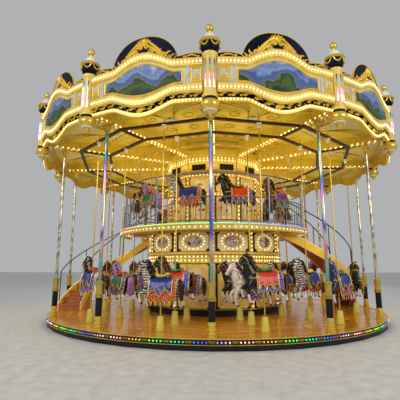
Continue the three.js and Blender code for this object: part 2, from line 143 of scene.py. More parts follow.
def paint(name, colour, roughness=0.35, metal=0.0, mottle=0.12, scale=5.0, bump=0.08, coat=0.0, glow=None,
          shine=0.5):
    """A painted or plated finish: cloudy colour change, small bumps and uneven gloss."""
    material, tree, shader = opened(bpy.data.materials.new(name))
    place = add_node(tree, "TexCoord").outputs["Object"]
    cloud = add_node(tree, "TexNoise", {"Scale": scale, "Detail": 4}, {"Vector": place}).outputs["Fac"]
    tones = shade_ramp(tree, cloud, [(0.3, [c * (1 - mottle) for c in colour]),
                                     (0.7, [min(1, c * (1 + mottle)) for c in colour])])
    tree.links.new(tones, shader["Base Color"])
    gloss = add_node(tree, "MapRange", {"To Min": max(0.03, roughness - 0.07),
                                        "To Max": roughness + 0.07}, {"Value": cloud})
    tree.links.new(gloss.outputs["Result"], shader["Roughness"])
    if bump:
        grain = add_node(tree, "TexNoise", {"Scale": scale * 14}, {"Vector": place})
        relief = add_node(tree, "Bump", {"Strength": bump, "Distance": 0.004},
                          {"Height": grain.outputs["Fac"]})
        tree.links.new(relief.outputs["Normal"], shader["Normal"])
    shader["Metallic"].default_value = metal
    shader["Coat Weight"].default_value = coat
    shader["Specular IOR Level"].default_value = shine
    # glow, when given, makes the finish give off light in its own colour: a painted glow, though the
    # piece is no lamp.
    if glow:
        shader["Emission Color"].default_value = (*colour, 1)
        shader["Emission Strength"].default_value = glow
    return material


stage_floor = piece("stage_floor", floor_mesh, paint("pale_floor", (0.6, 0.61, 0.62), 0.6, bump=0))

# Ground frame: a kerb ring, radial sills and a bearing pad of black painted steel, bolted
# together on the pitch. The machine turns on the pad, so the frame itself stands still.
black_steel = paint("black_steel", (0.006, 0.006, 0.008), 0.45, shine=0.3)


def refinish(node, material):
    """Gives a piece that keeps its CAD shape its real finish."""
    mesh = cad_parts[node].data
    mesh.materials.clear()
    mesh.materials.append(material)


refinish("base_frame", black_steel)

# Lower deck: varnished boards laid across twelve wedge sections on steel frames. The rim is a
# black band between two gold mouldings, set with coloured lamps in fours and small gold scrolls.
BAYS = 12
BAY = 360 / BAYS
DECK_RADIUS = 5.17
COLUMN_ANGLES = [k * BAY for k in range(BAYS)]
BAY_ANGLES = [(k + 0.5) * BAY for k in range(BAYS)]


def at(angle, radius, height):
    """The point at an angle from the front towards +X, in degrees."""
    turn = math.radians(angle)
    return Vector((radius * math.sin(turn), -radius * math.cos(turn), height))


def around(count):
    """Angles evenly spaced round a circle, in radians."""
    return [math.tau * k / count for k in range(count)]


def hoop(inner, outer, low, high):
    """Profile of a flat ring, which returns to its start."""
    return [(inner, low), (outer, low), (outer, high), (inner, high), (inner, low)]


def rod(radius, low, high):
    """Profile of a solid cylinder."""
    return [(0, low), (radius, low), (radius, high), (0, high)]


def turned_shape(bm, profile, steps=24, centre=(0, 0)):
    """A shape of revolution from (radius, height) points; one that returns to its start is a ring."""
    closed = profile[0] == profile[-1]
    points = profile[:-1] if closed else profile
    verts = [bm.verts.new((r, 0, z)) for r, z in points]
    edges = [bm.edges.new(pair) for pair in zip(verts, verts[1:])]
    if closed:
        edges.append(bm.edges.new((verts[-1], verts[0])))
    before = set(bm.faces)
    bmesh.ops.spin(bm, geom=verts + edges, cent=(0, 0, 0), axis=(0, 0, 1), angle=math.tau, steps=steps,
                   use_merge=True)
    faces = [f for f in bm.faces if f not in before]
    made = list({v for f in faces for v in f.verts})
    bmesh.ops.remove_doubles(bm, verts=made, dist=1e-5)
    faces = [f for f in bm.faces if f not in before]
    bmesh.ops.recalc_face_normals(bm, faces=faces)
    made = list({v for f in faces for v in f.verts})
    bmesh.ops.translate(bm, verts=made, vec=(centre[0], centre[1], 0))


def turn_round(bm, verts, angle):
    """Turns vertices about the machine's axis, in degrees."""
    bmesh.ops.rotate(bm, verts=verts, cent=(0, 0, 0), matrix=Matrix.Rotation(math.radians(angle), 3, "Z"))


def copies_at(bm, angles):
    """Turns all that was built at the front to the first angle, and copies of it to the others."""
    source = bm.verts[:] + bm.edges[:] + bm.faces[:]
    for angle in angles[1:]:
        made = bmesh.ops.duplicate(bm, geom=source)["geom"]
        turn_round(bm, [v for v in made if isinstance(v, bmesh.types.BMVert)], angle)
    turn_round(bm, [v for v in source if isinstance(v, bmesh.types.BMVert)], angles[0])


def wire(bm, points, radius, sides=1, cyclic=False, smooth=True, ends=None):
    """A round bar along points. ends, if given, is the share of its thickness left at each end."""
    curve = bpy.data.curves.new("bar", "CURVE")
    curve.dimensions = "3D"
    curve.bevel_depth = radius
    curve.bevel_resolution = sides
    curve.use_fill_caps = True
    curve.resolution_u = 2
    line = curve.splines.new("NURBS" if smooth else "POLY")
    line.points.add(len(points) - 1)
    for i, (target, point) in enumerate(zip(line.points, points)):
        target.co = (*point, 1)
        share = i / max(1, len(points) - 1)
        target.radius = 1 if ends is None else ends + (1 - ends) * math.sin(math.pi * share) ** 0.6
    if smooth:
        line.order_u = 3
        line.use_endpoint_u = not cyclic
    line.use_cyclic_u = cyclic
    bar = bpy.data.objects.new("bar", curve)
    mesh = bpy.data.meshes.new_from_object(bar)
    bm.from_mesh(mesh)
    bpy.data.objects.remove(bar)
    bpy.data.curves.remove(curve)
    bpy.data.meshes.remove(mesh)


def lamp(bm, place, size, outward):
    """A small globe that faces outward; its dome attribute runs from 0 at the rim to 1 at the top."""
    dome = bm.verts.layers.float.get("dome") or bm.verts.layers.float.new("dome")
    radius = 0.54 * size
    matrix = Matrix.Translation(place) @ Vector(outward).to_track_quat("Z", "Y").to_matrix().to_4x4()
    globe = bmesh.ops.create_uvsphere(bm, u_segments=8, v_segments=3, radius=radius,
                                      matrix=matrix)["verts"]
    for vert in globe:
        vert[dome] = max(0.0, (matrix.inverted() @ vert.co).z / radius) ** 0.7


def deck_boards():
    """Varnished planks laid along each bay, with their grain drawn out lengthwise."""
    material, tree, shader = opened(paint("varnished_boards", (0.4, 0.13, 0.03), 0.2, coat=0.2,
                                          shine=0.3))
    uv = add_node(tree, "UVMap").outputs["UV"]
    boards = add_node(tree, "TexBrick", {"Scale": 1, "Brick Width": 1.3, "Row Height": 0.15,
                                         "Mortar Size": 0.006, "Color1": (0.64, 0.29, 0.02, 1),
                                         "Color2": (0.45, 0.18, 0.012, 1),
                                         "Mortar": (0.07, 0.025, 0.008, 1)}, {"Vector": uv})
    stretch = add_node(tree, "Mapping", {"Scale": (1.5, 40, 1)}, {"Vector": uv})
    grain = add_node(tree, "TexNoise", {"Scale": 3, "Detail": 6}, {"Vector": stretch.outputs["Vector"]})
    multiply = {"data_type": "RGBA", "blend_type": "MULTIPLY"}
    blend = add_node(tree, "Mix", {"Factor": 0.55},
                     {"A": boards.outputs["Color"], "B": grain.outputs["Color"]}, **multiply)
    bright = add_node(tree, "Mix", {"Factor": 1, "B": (1.6, 1.6, 1.6, 1)},
                      {"A": blend.outputs["Result"]}, **multiply)
    tree.links.new(bright.outputs["Result"], shader["Base Color"])
    return material


def fitted(name, bm, slot, *materials, sharp=35):
    """A finished piece that turns with the platform."""
    obj = piece(name, bm, *materials, sharp=sharp)
    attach(obj, "platform")
    return obj


floor_boards = bmesh.new()
BOARD_EDGE = DECK_RADIUS - 0.03
turned_shape(floor_boards, hoop(0.16, BOARD_EDGE, 0.1, DECK), 96)
turn_round(floor_boards, floor_boards.verts, -90)
uv_layer = floor_boards.loops.layers.uv.new("boards")
for face in floor_boards.faces:
    middle = face.calc_center_median()
    sector = math.floor(math.degrees(math.atan2(middle.x, -middle.y)) / BAY) * BAY + BAY / 2
    back = Matrix.Rotation(-math.radians(sector), 3, "Z")
    for loop in face.loops:
        flat = back @ loop.vert.co
        loop[uv_layer].uv = (flat.x + 7 * sector / BAY, -flat.y + loop.vert.co.z)
deck_floor = fitted("deck_floor", floor_boards, "deck_wood", deck_boards())
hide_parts("lower_deck")

rim = bmesh.new()
turned_shape(rim, hoop(BOARD_EDGE, DECK_RADIUS - 0.012, 0.125, 0.206), 120)
fitted("rim_band", rim, "black_base", black_steel)

gold = paint("gold_plate", (0.78, 0.55, 0.08), 0.26, 0.6, bump=0.02)
mouldings = bmesh.new()
for side in (1, -1):
    scroll = [at(side * (0.35 + 0.5 * math.cos(a) * (1 - a / 9)), DECK_RADIUS - 0.008,
                 0.165 + 0.026 * math.sin(a) * (1 - a / 9)) for a in [0.9 * i for i in range(9)]]
    wire(mouldings, scroll, 0.0045, 0)
GROUP = 5
GROUPS = 360 // GROUP
copies_at(mouldings, [GROUP * k for k in range(GROUPS)])
for low, high in [(0.103, 0.116), (0.213, 0.232)]:
    middle = (low + high) / 2
    turned_shape(mouldings, [(BOARD_EDGE - 0.01, low), (DECK_RADIUS - 0.008, low), (DECK_RADIUS, middle),
                             (DECK_RADIUS - 0.008, high), (BOARD_EDGE - 0.01, high),
                             (BOARD_EDGE - 0.01, low)], 120)
fitted("rim_mouldings", mouldings, "gold_trim", gold)


def coloured_light(name, strength):
    """A lamp cover that glows in the colour kept in its own attribute."""
    material, tree, shader = opened(bpy.data.materials.new(name))
    colour = add_node(tree, "VertexColor", layer_name="lamp_colour").outputs["Color"]
    tree.links.new(colour, shader["Base Color"])
    tree.links.new(colour, shader["Emission Color"])
    shader["Emission Strength"].default_value = strength
    shader["Roughness"].default_value = 0.2
    return material


def spectrum(turn, white=0.0):
    """A clear colour round the spectrum, mixed with white."""
    shades = [0.5 + 0.5 * math.cos(math.tau * (turn - shift)) for shift in (0, 1 / 3, 2 / 3)]
    return tuple(min(1, shade ** 2 * (1 - white) + white) for shade in shades)


lamps = bmesh.new()
tint = lamps.verts.layers.float_color.new("lamp_colour")
LAMP_STEP = 0.87
for k in range(4):
    angle = (k - 1.5) * LAMP_STEP
    lamp(lamps, at(angle, DECK_RADIUS - 0.012, 0.165), 0.034, at(angle, 1, 0))
copies_at(lamps, [GROUP * (k + 0.5) for k in range(GROUPS)])
for vert in lamps.verts:
    run = math.degrees(math.atan2(vert.co.x, -vert.co.y)) / BAY + 0.72
    vert[tint] = (*spectrum(run, 0.6 * max(0.0, math.cos(math.tau * (run - 0.9))) ** 3), 1)
fitted("rim_lamps", lamps, "gold_trim", coloured_light("rim_lamp_light", 1.5), sharp=180)

# Pole boots: tapered yellow sleeves bolted to the deck, each round the foot of a pole. They hide
# the driving rod of a rising horse and hold the foot of a standing one.
OUTER_ROW = 4.4
MIDDLE_ROW = 3.55
INNER_ROW = 2.7
OUTER_BAYS = [a for a in BAY_ANGLES if a not in (105, 285)]
INNER_BAYS = [a for a in BAY_ANGLES if a not in (75, 255)]
BOOT = [(0.021, DECK - 0.001), (0.105, DECK - 0.001), (0.105, DECK + 0.014), (0.096, DECK + 0.016),
        (0.068, 0.508), (0.062, 0.52), (0.021, 0.52), (0.021, DECK - 0.001)]

boots = bmesh.new()
for row, bays in [(OUTER_ROW, OUTER_BAYS), (MIDDLE_ROW, INNER_BAYS), (INNER_ROW, INNER_BAYS)]:
    for angle in bays:
        turned_shape(boots, BOOT, 20, at(angle, row, 0).xy)
fitted("pole_boots", boots, "stair_yellow", paint("boot_yellow", (0.72, 0.6, 0.07), 0.35, mottle=0.08))

# Twelve columns: each a mirror tube with a play of colours, in a gold casing at hand height over
# a black rubber guard and a moulded foot. A small bracketed capital meets the sweep above it.
COLUMN_RADIUS = 5.0
COLUMN_PLACE = (0, -COLUMN_RADIUS)
TUBE = 0.041
REFLECTION_STREAK = 0.3


def mirror_tube(name, low, high, shades, drift, light):
    """Polished film with a painted glow, whose colour changes up the tube; drift shifts each tube."""
    material, tree, shader = opened(bpy.data.materials.new(name))
    place = add_node(tree, "TexCoord").outputs["Object"]
    parts = add_node(tree, "SeparateXYZ", links={"Vector": place})
    middle = (drift + REFLECTION_STREAK) / 2
    climb = add_node(tree, "MapRange", {"From Min": low, "From Max": high, "To Min": -middle,
                                        "To Max": 1 - middle}, {"Value": parts.outputs["Z"]}, clamp=False)
    shift = add_node(tree, "TexNoise", {"Scale": 0.9, "Detail": 1}, {"Vector": place})
    total = add_node(tree, "Math", {1: drift}, {0: shift.outputs["Fac"], 2: climb.outputs["Result"]},
                     operation="MULTIPLY_ADD")
    # Streaks drawn out up the tube shift its colour round it: painted reflections and highlights.
    stretch = add_node(tree, "Mapping", {"Scale": (18, 18, 0.7)}, {"Vector": place})
    reflection_streak = add_node(tree, "TexNoise", {"Scale": 1, "Detail": 1}, {"Vector": stretch.outputs["Vector"]})
    reflection_streaked = add_node(tree, "Math", {1: REFLECTION_STREAK}, {0: reflection_streak.outputs["Fac"], 2: total.outputs["Value"]},
                        operation="MULTIPLY_ADD")
    turn = add_node(tree, "Math", links={0: reflection_streaked.outputs["Value"]}, operation="FRACT")
    tones = shade_ramp(tree, turn.outputs["Value"], shades)
    tree.links.new(tones, shader["Base Color"])
    tree.links.new(tones, shader["Emission Color"])
    # The film gives off light in its own colours, though it is no lamp: a painted glow.
    shader["Emission Strength"].default_value = light
    shader["Metallic"].default_value = 0.85
    shader["Roughness"].default_value = 0.14
    return material


TUBE_SHADES = [(0, (0.16, 0.52, 0.42)), (0.08, (0.4, 0.6, 0.48)), (0.13, (0.62, 0.25, 0.13)),
               (0.19, (0.74, 0.42, 0.34)), (0.26, (0.78, 0.68, 0.6)), (0.31, (0.34, 0.2, 0.5)),
               (0.36, (0.06, 0.1, 0.42)), (0.41, (0.46, 0.46, 0.46)), (0.49, (0.8, 0.77, 0.68)),
               (0.58, (0.68, 0.46, 0.26)), (0.65, (0.34, 0.2, 0.5)), (0.74, (0.08, 0.13, 0.42)),
               (0.82, (0.03, 0.2, 0.19)), (0.91, (0.48, 0.44, 0.32)), (1, (0.16, 0.52, 0.42))]
# The side columns' film is silver; its brass-brown, cream and dark bands up the tube are painted
# reflections of the gilt and dark parts around it.
SILVER_AND_REFLECTION_SHADES = [(0, (0.3, 0.42, 0.46)), (0.1, (0.74, 0.71, 0.62)), (0.2, (0.44, 0.3, 0.12)),
                 (0.3, (0.78, 0.73, 0.58)), (0.42, (0.26, 0.22, 0.16)), (0.54, (0.82, 0.8, 0.74)),
                 (0.66, (0.58, 0.43, 0.16)), (0.78, (0.78, 0.75, 0.67)), (0.9, (0.34, 0.28, 0.2)),
                 (1, (0.3, 0.42, 0.46))]
# Both films glow a little in their own colours: a painted glow, not a lamp.
mirror_film = mirror_tube("mirror_film", DECK + 1.0, DECK + 4.6, TUBE_SHADES, 0.8, 0.06)
silver_film = mirror_tube("silver_film", DECK + 1.0, DECK + 2.2, SILVER_AND_REFLECTION_SHADES, 1.6, 0.05)
tubes = bmesh.new()
turned_shape(tubes, rod(TUBE, DECK + 1.0, DECK + 4.55), 20, COLUMN_PLACE)
copies_at(tubes, COLUMN_ANGLES)
SIDE_COLUMNS = COLUMN_RADIUS * math.sin(math.radians(1.5 * BAY))
for face in tubes.faces:
    if abs(face.calc_center_median().x) > SIDE_COLUMNS:
        face.material_index = 1
column_tubes = fitted("column_tubes", tubes, "gold_trim", mirror_film, silver_film)
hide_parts(*[f"column_{k + 1}" for k in range(BAYS)])


def turned_parts(bm, place, steps, *profiles):
    """Turned shapes on one upright line, with heights above the deck."""
    for profile in profiles:
        turned_shape(bm, [(r, z + DECK) for r, z in profile], steps, place)


guards = bmesh.new()
turned_parts(guards, COLUMN_PLACE, 20, [(0, 0.29), (0.068, 0.3), (0.071, 0.31), (0.071, 0.69),
                                        (0.068, 0.7), (0, 0.71)])
copies_at(guards, COLUMN_ANGLES)
fitted("column_guards", guards, "black_base",
       paint("guard_rubber", (0.006, 0.006, 0.008), 0.6, shine=0.25))

FOOT = [(0, 0), (0.107, 0), (0.107, 0.04), (0.08, 0.052), (0.08, 0.06), (0.1, 0.075), (0.1, 0.11),
        (0.072, 0.122), (0.072, 0.13), (0.09, 0.145), (0.09, 0.18), (0.066, 0.195), (0.066, 0.215),
        (0.082, 0.23), (0.08, 0.3), (0, 0.3)]
CASING = [(0, 0.69), (0.08, 0.69), (0.098, 0.7), (0.098, 0.725), (0.076, 0.735), (0.09, 0.75),
          (0.09, 0.77), (0.07, 0.785), (0.078, 0.99), (0.088, 1.0), (0.088, 1.03), (0.06, 1.05),
          (0.043, 1.06), (0, 1.06)]
CAPITAL = [(0, 4.5), (0.043, 4.5), (0.056, 4.515), (0.048, 4.54), (0.055, 4.58), (0.088, 4.64),
           (0.093, 4.67), (0.06, 4.7), (0.06, 4.779), (0, 4.779)]
fittings = bmesh.new()
turned_parts(fittings, COLUMN_PLACE, 20, FOOT, CASING, CAPITAL)
for side in (1, -1):
    for reach, drop in ((0.19, 0), (0.14, 0.03), (0.09, 0.05)):
        bracket = [Vector((side * (0.045 + reach * share ** 1.6), -COLUMN_RADIUS, DECK + 4.53 + drop
                           + (0.24 - drop) * share)) for share in (0, 0.3, 0.6, 0.85, 1)]
        wire(fittings, bracket, 0.024, 1, ends=0.4)
copies_at(fittings, COLUMN_ANGLES)
for face in fittings.faces:
    if DECK + CASING[0][1] <= face.calc_center_median().z <= DECK + CASING[-1][1]:
        face.material_index = 1
casing_brass = paint("casing_brass", (0.5, 0.37, 0.05), 0.32, 0.5, bump=0.02)
fitted("column_fittings", fittings, "gold_trim", gold, casing_brass)

# Rounding boards: twelve curved glass-fibre panels hung round the sweep ends. Each swells in the
# middle between two bulb mouldings, with a dark valance below and an arched cresting above.
BOARD_BACK = 5.53
BOARD_FACE = 5.64
DARK_FACE = 5.57


def swell(low, high, reach=7.2):
    """Height above ground of a moulding that runs level and swells up or down at mid-bay."""
    def height(angle):
        share = max(0.0, 0.5 + 0.5 * math.cos(math.pi * angle / reach)) if abs(angle) < reach else 0.0
        return DECK + low + (high - low) * share ** 0.62
    return height


def lifted(height, rise):
    """A height line raised by a constant."""
    return lambda angle: height(angle) + rise


def crest(angle):
    """Top line of the cresting: a broad arch with a low hump on each side of it."""
    side = abs(angle)
    if side < 7.9:
        return DECK + 5.72 + 0.58 * (1 - (side / 7.9) ** 2.3) ** 0.62
    return DECK + 5.72 + 0.06 * math.sin(math.pi * min(1.0, (side - 7.9) / 6.5))


def swept(bm, outline, angles):
    """Carries an outline of (radius, height line) points round the axis; its ends are closed."""
    def place(point, angle):
        radius, height = point
        return at(angle, radius, height(angle) if callable(height) else height)
    face = bm.faces.new([bm.verts.new(place(point, angles[0])) for point in outline])
    inner = []
    for angle in angles[1:]:
        result = bmesh.ops.extrude_face_region(bm, geom=[face])["geom"]
        inner.append(face)
        face = next(item for item in result if isinstance(item, bmesh.types.BMFace))
        for vert, point in zip(face.verts, outline):
            vert.co = place(point, angle)
    bmesh.ops.delete(bm, geom=inner[1:], context="FACES_ONLY")
    bmesh.ops.recalc_face_normals(bm, faces=bm.faces)


def band(bm, inner, outer, low, high, angles):
    """A strip between two radii and two height lines."""
    swept(bm, hoop(inner, outer, low, high)[:-1], angles)


def spread(low, high, steps):
    """Evenly spaced values from low to high."""
    return [low + (high - low) * i / steps for i in range(steps + 1)]


def bead(height, radius, size):
    """Outline of a small half-round moulding whose centre runs along a height line."""
    return [(radius + size * math.cos(a), lifted(height, size * math.sin(a)))
            for a in around(6)]


END = 13.45
ACROSS = spread(-END, END, 42)
top_line = swell(5.52, 5.77)
bottom_line = swell(4.945, 4.74)
valance_line = swell(4.71, 4.49)

fields = bmesh.new()
band(fields, BOARD_BACK, BOARD_FACE, bottom_line, top_line, ACROSS)
copies_at(fields, BAY_ANGLES)
cream = paint("cream_gloss", (0.8, 0.69, 0.28), 0.3, mottle=0.08, coat=0.3)
board_fields = fitted("board_fields", fields, "board_yellow", cream)
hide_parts(*[f"rounding_board_{k + 1}" for k in range(BAYS)])

dark = bmesh.new()
band(dark, BOARD_BACK, DARK_FACE, lifted(valance_line, -0.03), bottom_line, ACROSS)
band(dark, BOARD_BACK, DARK_FACE, top_line, crest, spread(-END, END, 64))
dark.normal_update()
for face in dark.faces:
    middle = face.calc_center_median()
    if face.normal.dot(Vector((middle.x, middle.y, 0)).normalized()) < -0.5 and middle.z < DECK + 5.3:
        face.material_index = 1
copies_at(dark, BAY_ANGLES)
# Near-black navy lacquer whose strong cloudy navy patches are painted sheen, standing in for highlights
# on the gloss.
navy_lacquer_with_painted_sheen = paint("navy_lacquer_with_painted_sheen", (0.003, 0.005, 0.02), 0.45, mottle=0.95, scale=2.5, shine=0.1)
board_back = paint("board_back_yellow", (0.7, 0.52, 0.05), 0.35, mottle=0.12)
fitted("cresting_and_valance", dark, "board_yellow", navy_lacquer_with_painted_sheen, board_back)

edges = bmesh.new()
for line in (top_line, bottom_line):
    swept(edges, [(BOARD_FACE - 0.02, lifted(line, -0.05)), (BOARD_FACE + 0.03, lifted(line, -0.045)),
                  (BOARD_FACE + 0.03, lifted(line, 0.045)), (BOARD_FACE - 0.02, lifted(line, 0.05))],
          ACROSS)
    for rise, size in [(-0.085, 0.02), (0.085, 0.02)]:
        swept(edges, bead(lifted(line, rise), BOARD_FACE + 0.01, size), ACROSS)
band(edges, BOARD_BACK, DARK_FACE + 0.03, lifted(valance_line, -0.045), lifted(valance_line, 0.04),
     ACROSS)
swept(edges, bead(crest, (BOARD_BACK + DARK_FACE) / 2, 0.024), spread(-END, END, 72))
copies_at(edges, BAY_ANGLES)
# The gilt of the board mouldings, board scrolls and drum frames gives off a little light in its own
# colour: a painted glow for the bulbs' light falling on it.
gold_with_painted_glow = paint("gold_with_painted_glow", (0.82, 0.53, 0.045), 0.3, 0.3, mottle=0.16, glow=0.1)
fitted("board_mouldings", edges, "gold_trim", gold_with_painted_glow)

beads = bmesh.new()
for line in (top_line, bottom_line):
    for rise in (-0.058, 0.058):
        swept(beads, bead(lifted(line, rise), BOARD_FACE + 0.028, 0.013), ACROSS)
copies_at(beads, BAY_ANGLES)
ivory = paint("ivory_enamel", (0.9, 0.8, 0.45), 0.25, mottle=0.06)
fitted("board_beads", beads, "board_yellow", ivory)

# Bulbs: round warm-white cabochon lamps, screwed into the mouldings in evenly spaced rows. Each is
# pale yellow at its top and amber at its rim.
BULB = 0.05


def bulb_glow():
    """A lit bulb: pale yellow at its top and amber at its rim."""
    material, tree, shader = opened(bpy.data.materials.new("bulb_glow"))
    dome = add_node(tree, "Attribute", attribute_name="dome").outputs["Fac"]
    tree.links.new(shade_ramp(tree, dome, [(0, (1, 0.55, 0.1)), (1, (1, 0.9, 0.5))]),
                   shader["Emission Color"])
    shader["Base Color"].default_value = (1, 0.85, 0.5, 1)
    shader["Emission Strength"].default_value = 1.2
    shader["Roughness"].default_value = 0.15
    return material


warm_bulb = bulb_glow()
bulbs = bmesh.new()
for line, face, count in [(top_line, BOARD_FACE, 35), (bottom_line, BOARD_FACE, 35),
                          (valance_line, DARK_FACE, 36)]:
    radius = face + 0.035
    length = [0.0]
    for low, high in zip(ACROSS, ACROSS[1:]):
        length.append(length[-1] + (at(high, radius, line(high)) - at(low, radius, line(low))).length)
    for k in range(count):
        target = length[-1] * (k + 0.5) / count
        i = next(i for i in range(len(ACROSS) - 1) if length[i + 1] >= target)
        share = (target - length[i]) / (length[i + 1] - length[i])
        angle = ACROSS[i] + (ACROSS[i + 1] - ACROSS[i]) * share
        lamp(bulbs, at(angle, radius, line(angle)), BULB, at(angle, 1, 0))
copies_at(bulbs, BAY_ANGLES)
fitted("board_bulbs", bulbs, "board_yellow", warm_bulb, sharp=180)

# Board dressing: a painted landscape in a gilt frame on each board, with pearl strips, small
# square panels and cast scrollwork pinned to the boards, the valance and the cresting.
PICTURE_END = 9.2
PANEL_BACK, PANEL_FACE = BOARD_FACE - 0.002, BOARD_FACE + 0.01
CAST = DARK_FACE + 0.015  # where cast scrollwork lies on the cresting and the valance
picture_top = swell(5.33, 5.59, 7.4)
picture_low = swell(5.09, 4.9, 7.4)


def landscape():
    """Loose brushed bands of meadow, trees, hills and sky, different on every board."""
    material, tree, shader = opened(paint("landscape_panel", (0.5, 0.5, 0.5), 0.45, shine=0.25))
    place = add_node(tree, "TexCoord").outputs["Object"]
    parts = add_node(tree, "SeparateXYZ", links={"Vector": place})
    ridges = add_node(tree, "TexNoise", {"Scale": 2.2, "Detail": 7}, {"Vector": place})
    lift = add_node(tree, "Math", {1: 1.1}, {0: ridges.outputs["Fac"], 2: parts.outputs["Z"]},
                    operation="MULTIPLY_ADD")
    tones = add_node(tree, "MapRange", {"From Min": DECK + 5.4, "From Max": DECK + 6.2},
                     {"Value": lift.outputs["Value"]})
    shades = [(0.05, (0.008, 0.03, 0.015)), (0.24, (0.06, 0.12, 0.02)), (0.34, (0.01, 0.035, 0.02)),
              (0.42, (0.16, 0.18, 0.08)), (0.47, (0.1, 0.14, 0.3)), (0.58, (0.05, 0.1, 0.3)),
              (0.7, (0.22, 0.32, 0.55)), (0.85, (0.12, 0.2, 0.45)), (0.97, (0.4, 0.48, 0.6))]
    tree.links.new(shade_ramp(tree, tones.outputs["Result"], shades), shader["Base Color"])
    return material


pictures = bmesh.new()
band(pictures, PANEL_BACK, PANEL_FACE, picture_low, picture_top, spread(-PICTURE_END, PICTURE_END, 32))
copies_at(pictures, BAY_ANGLES)
fitted("board_pictures", pictures, "board_yellow", landscape())


def unrolled(size, turns, steps, eye):
    """Points (across, up) of a flat scroll that unrolls from its eye, which is that share of its size."""
    spots = [(math.tau * turns * k / steps, size * (eye + (1 - eye) * k / steps))
             for k in range(steps + 1)]
    return [(reach * math.cos(a), reach * math.sin(a)) for a, reach in spots]


def curl(bm, angle, radius, height, size, way=1, thick=0.2):
    """A scroll that lies on a drum or board of the given radius."""
    points = [at(angle + math.degrees(way * x / radius), radius, height + y)
              for x, y in unrolled(size, 1.3, 8, 0.18)]
    wire(bm, points, size * thick, 1, ends=0.4)


def leaf(bm, angle, radius, height, size, lean):
    """A pointed leaf on a short curved stem."""
    ways = [(0, 0), (0.3, 0.25), (0.7, 0.3), (1, 0)]
    points = [at(angle + math.degrees(size * (u * math.cos(lean) - v * math.sin(lean)) / radius), radius,
                 height + size * (u * math.sin(lean) + v * math.cos(lean))) for u, v in ways]
    wire(bm, points, size * 0.18, 0, ends=0.15)


pearl = paint("pearl_strip", (0.62, 0.64, 0.55), 0.18, 0.2, mottle=0.2, scale=12, coat=0.8)
strips = bmesh.new()
for side in (1, -1):
    band(strips, PANEL_BACK, PANEL_FACE + 0.005, lifted(bottom_line, 0.1), lifted(top_line, -0.1),
         [side * a for a in spread(9.85, 10.7, 2)])
    band(strips, PANEL_BACK, PANEL_FACE, DECK + 5.14, DECK + 5.34,
         [side * a for a in spread(11.35, 12.95, 2)])
copies_at(strips, BAY_ANGLES)
fitted("pearl_strips", strips, "board_yellow", pearl)

scrolls = bmesh.new()
frame_run = spread(-PICTURE_END, PICTURE_END, 40)
for line, rise in ((picture_low, -0.005), (picture_top, 0.005)):
    swept(scrolls, bead(lifted(line, 3 * rise), PANEL_FACE, 0.02), frame_run)
for side in (1, -1):
    for angle, *ends in [(PICTURE_END, 5.08, 5.34), (11.2, 5.09, 5.39), (13.1, 5.09, 5.39)]:
        wire(scrolls, [at(side * angle, PANEL_FACE + 0.002, DECK + z) for z in ends], 0.016, 1,
             smooth=False)
    for height in (5.09, 5.39):
        wire(scrolls, [at(side * a, PANEL_FACE + 0.002, DECK + height) for a in (11.1, 12.15, 13.2)],
             0.016, 1, smooth=False)
    for across, tall, thick in ((0.78, 0.022, 0.028), (0.52, 0.062, 0.026), (0.3, 0.1, 0.024),
                                (0.1, 0.14, 0.018)):
        wire(scrolls, [at(side * 12.15 + way * across, PANEL_FACE, DECK + 5.125 + tall)
                       for way in (-1, 0, 1)], thick, 1, ends=0.5)
    for angle, rise, size, way in [(0.8, 0.29, 0.07, -1), (1.55, 0.14, 0.09, 1), (4.9, 0.17, 0.075, 1),
                                   (6.2, 0.16, 0.06, -1), (7.1, 0.13, 0.045, 1)]:
        curl(scrolls, side * angle, CAST, top_line(angle) + rise, size, way * side, thick=0.3)
    for low, high, drop in ((0.42, 0.2, 0.0), (0.33, 0.15, 0.35)):
        arm = [at(side * a, CAST + 0.003, top_line(a) + low + (high - low) * share
                  + drop * share * (share - 1) / 4)
               for share, a in ((0, 0.9), (0.3, 1.9), (0.6, 3.0), (0.85, 4.0), (1, 4.7))]
        wire(scrolls, arm, 0.034, 1, ends=0.4)
    wire(scrolls, [at(side * a, CAST + 0.003, top_line(a) + 0.13) for a in (1.6, 2.8, 4.2)], 0.024, 1,
         ends=0.4)
    for angle, lean, size in ((2.6, 0.5, 0.14), (3.6, 0.7, 0.12), (5.4, 0.9, 0.15), (6.5, 1.0, 0.12),
                              (7.3, 1.2, 0.09)):
        leaf(scrolls, side * angle, CAST, top_line(angle) + 0.17, size, math.pi / 2 - side * lean)
    for lean in (0.15, 0.6, 1.05):
        leaf(scrolls, side * 0.15, CAST + 0.005, top_line(0) + 0.3, 0.19, math.pi / 2 - side * lean)
    curl(scrolls, side * 9.4, CAST, DECK + 5.7, 0.032, side, thick=0.3)
    curl(scrolls, side * 12.6, CAST, DECK + 5.69, 0.026, -side, thick=0.3)
    hump = ((9.6, 5.68), (10.6, 5.73), (11.6, 5.73), (12.5, 5.68))
    wire(scrolls, [at(side * a, CAST, DECK + z) for a, z in hump], 0.022, 1, ends=0.4)
    for k in range(5):
        angle = side * (2.3 + 2.5 * k)
        height = (valance_line(angle) + bottom_line(angle)) / 2 - 0.015
        slope = math.atan2(valance_line(angle + 0.4) - valance_line(angle - 0.4),
                           math.radians(0.8) * (DARK_FACE + 0.03))
        for turn in (1, -1):
            start = angle - turn * 0.15
            for rise, size, lean in ((0, 0.11, 0.25), (0.015, 0.09, 0.75)):
                leaf(scrolls, start, CAST + 0.007, height + rise, size,
                     (lean if turn > 0 else math.pi - lean) + slope)
        curl(scrolls, angle + side * 1.15, CAST + 0.003, height - 0.005, 0.03, side, thick=0.3)
for lean in (-1.25, -0.8, -0.4, 0, 0.4, 0.8, 1.25):
    leaf(scrolls, 0, CAST + 0.01, (valance_line(0) + bottom_line(0)) / 2 - 0.06, 0.125,
         math.pi / 2 - lean)
copies_at(scrolls, BAY_ANGLES)
fitted("board_scrolls", scrolls, "gold_trim", gold_with_painted_glow)

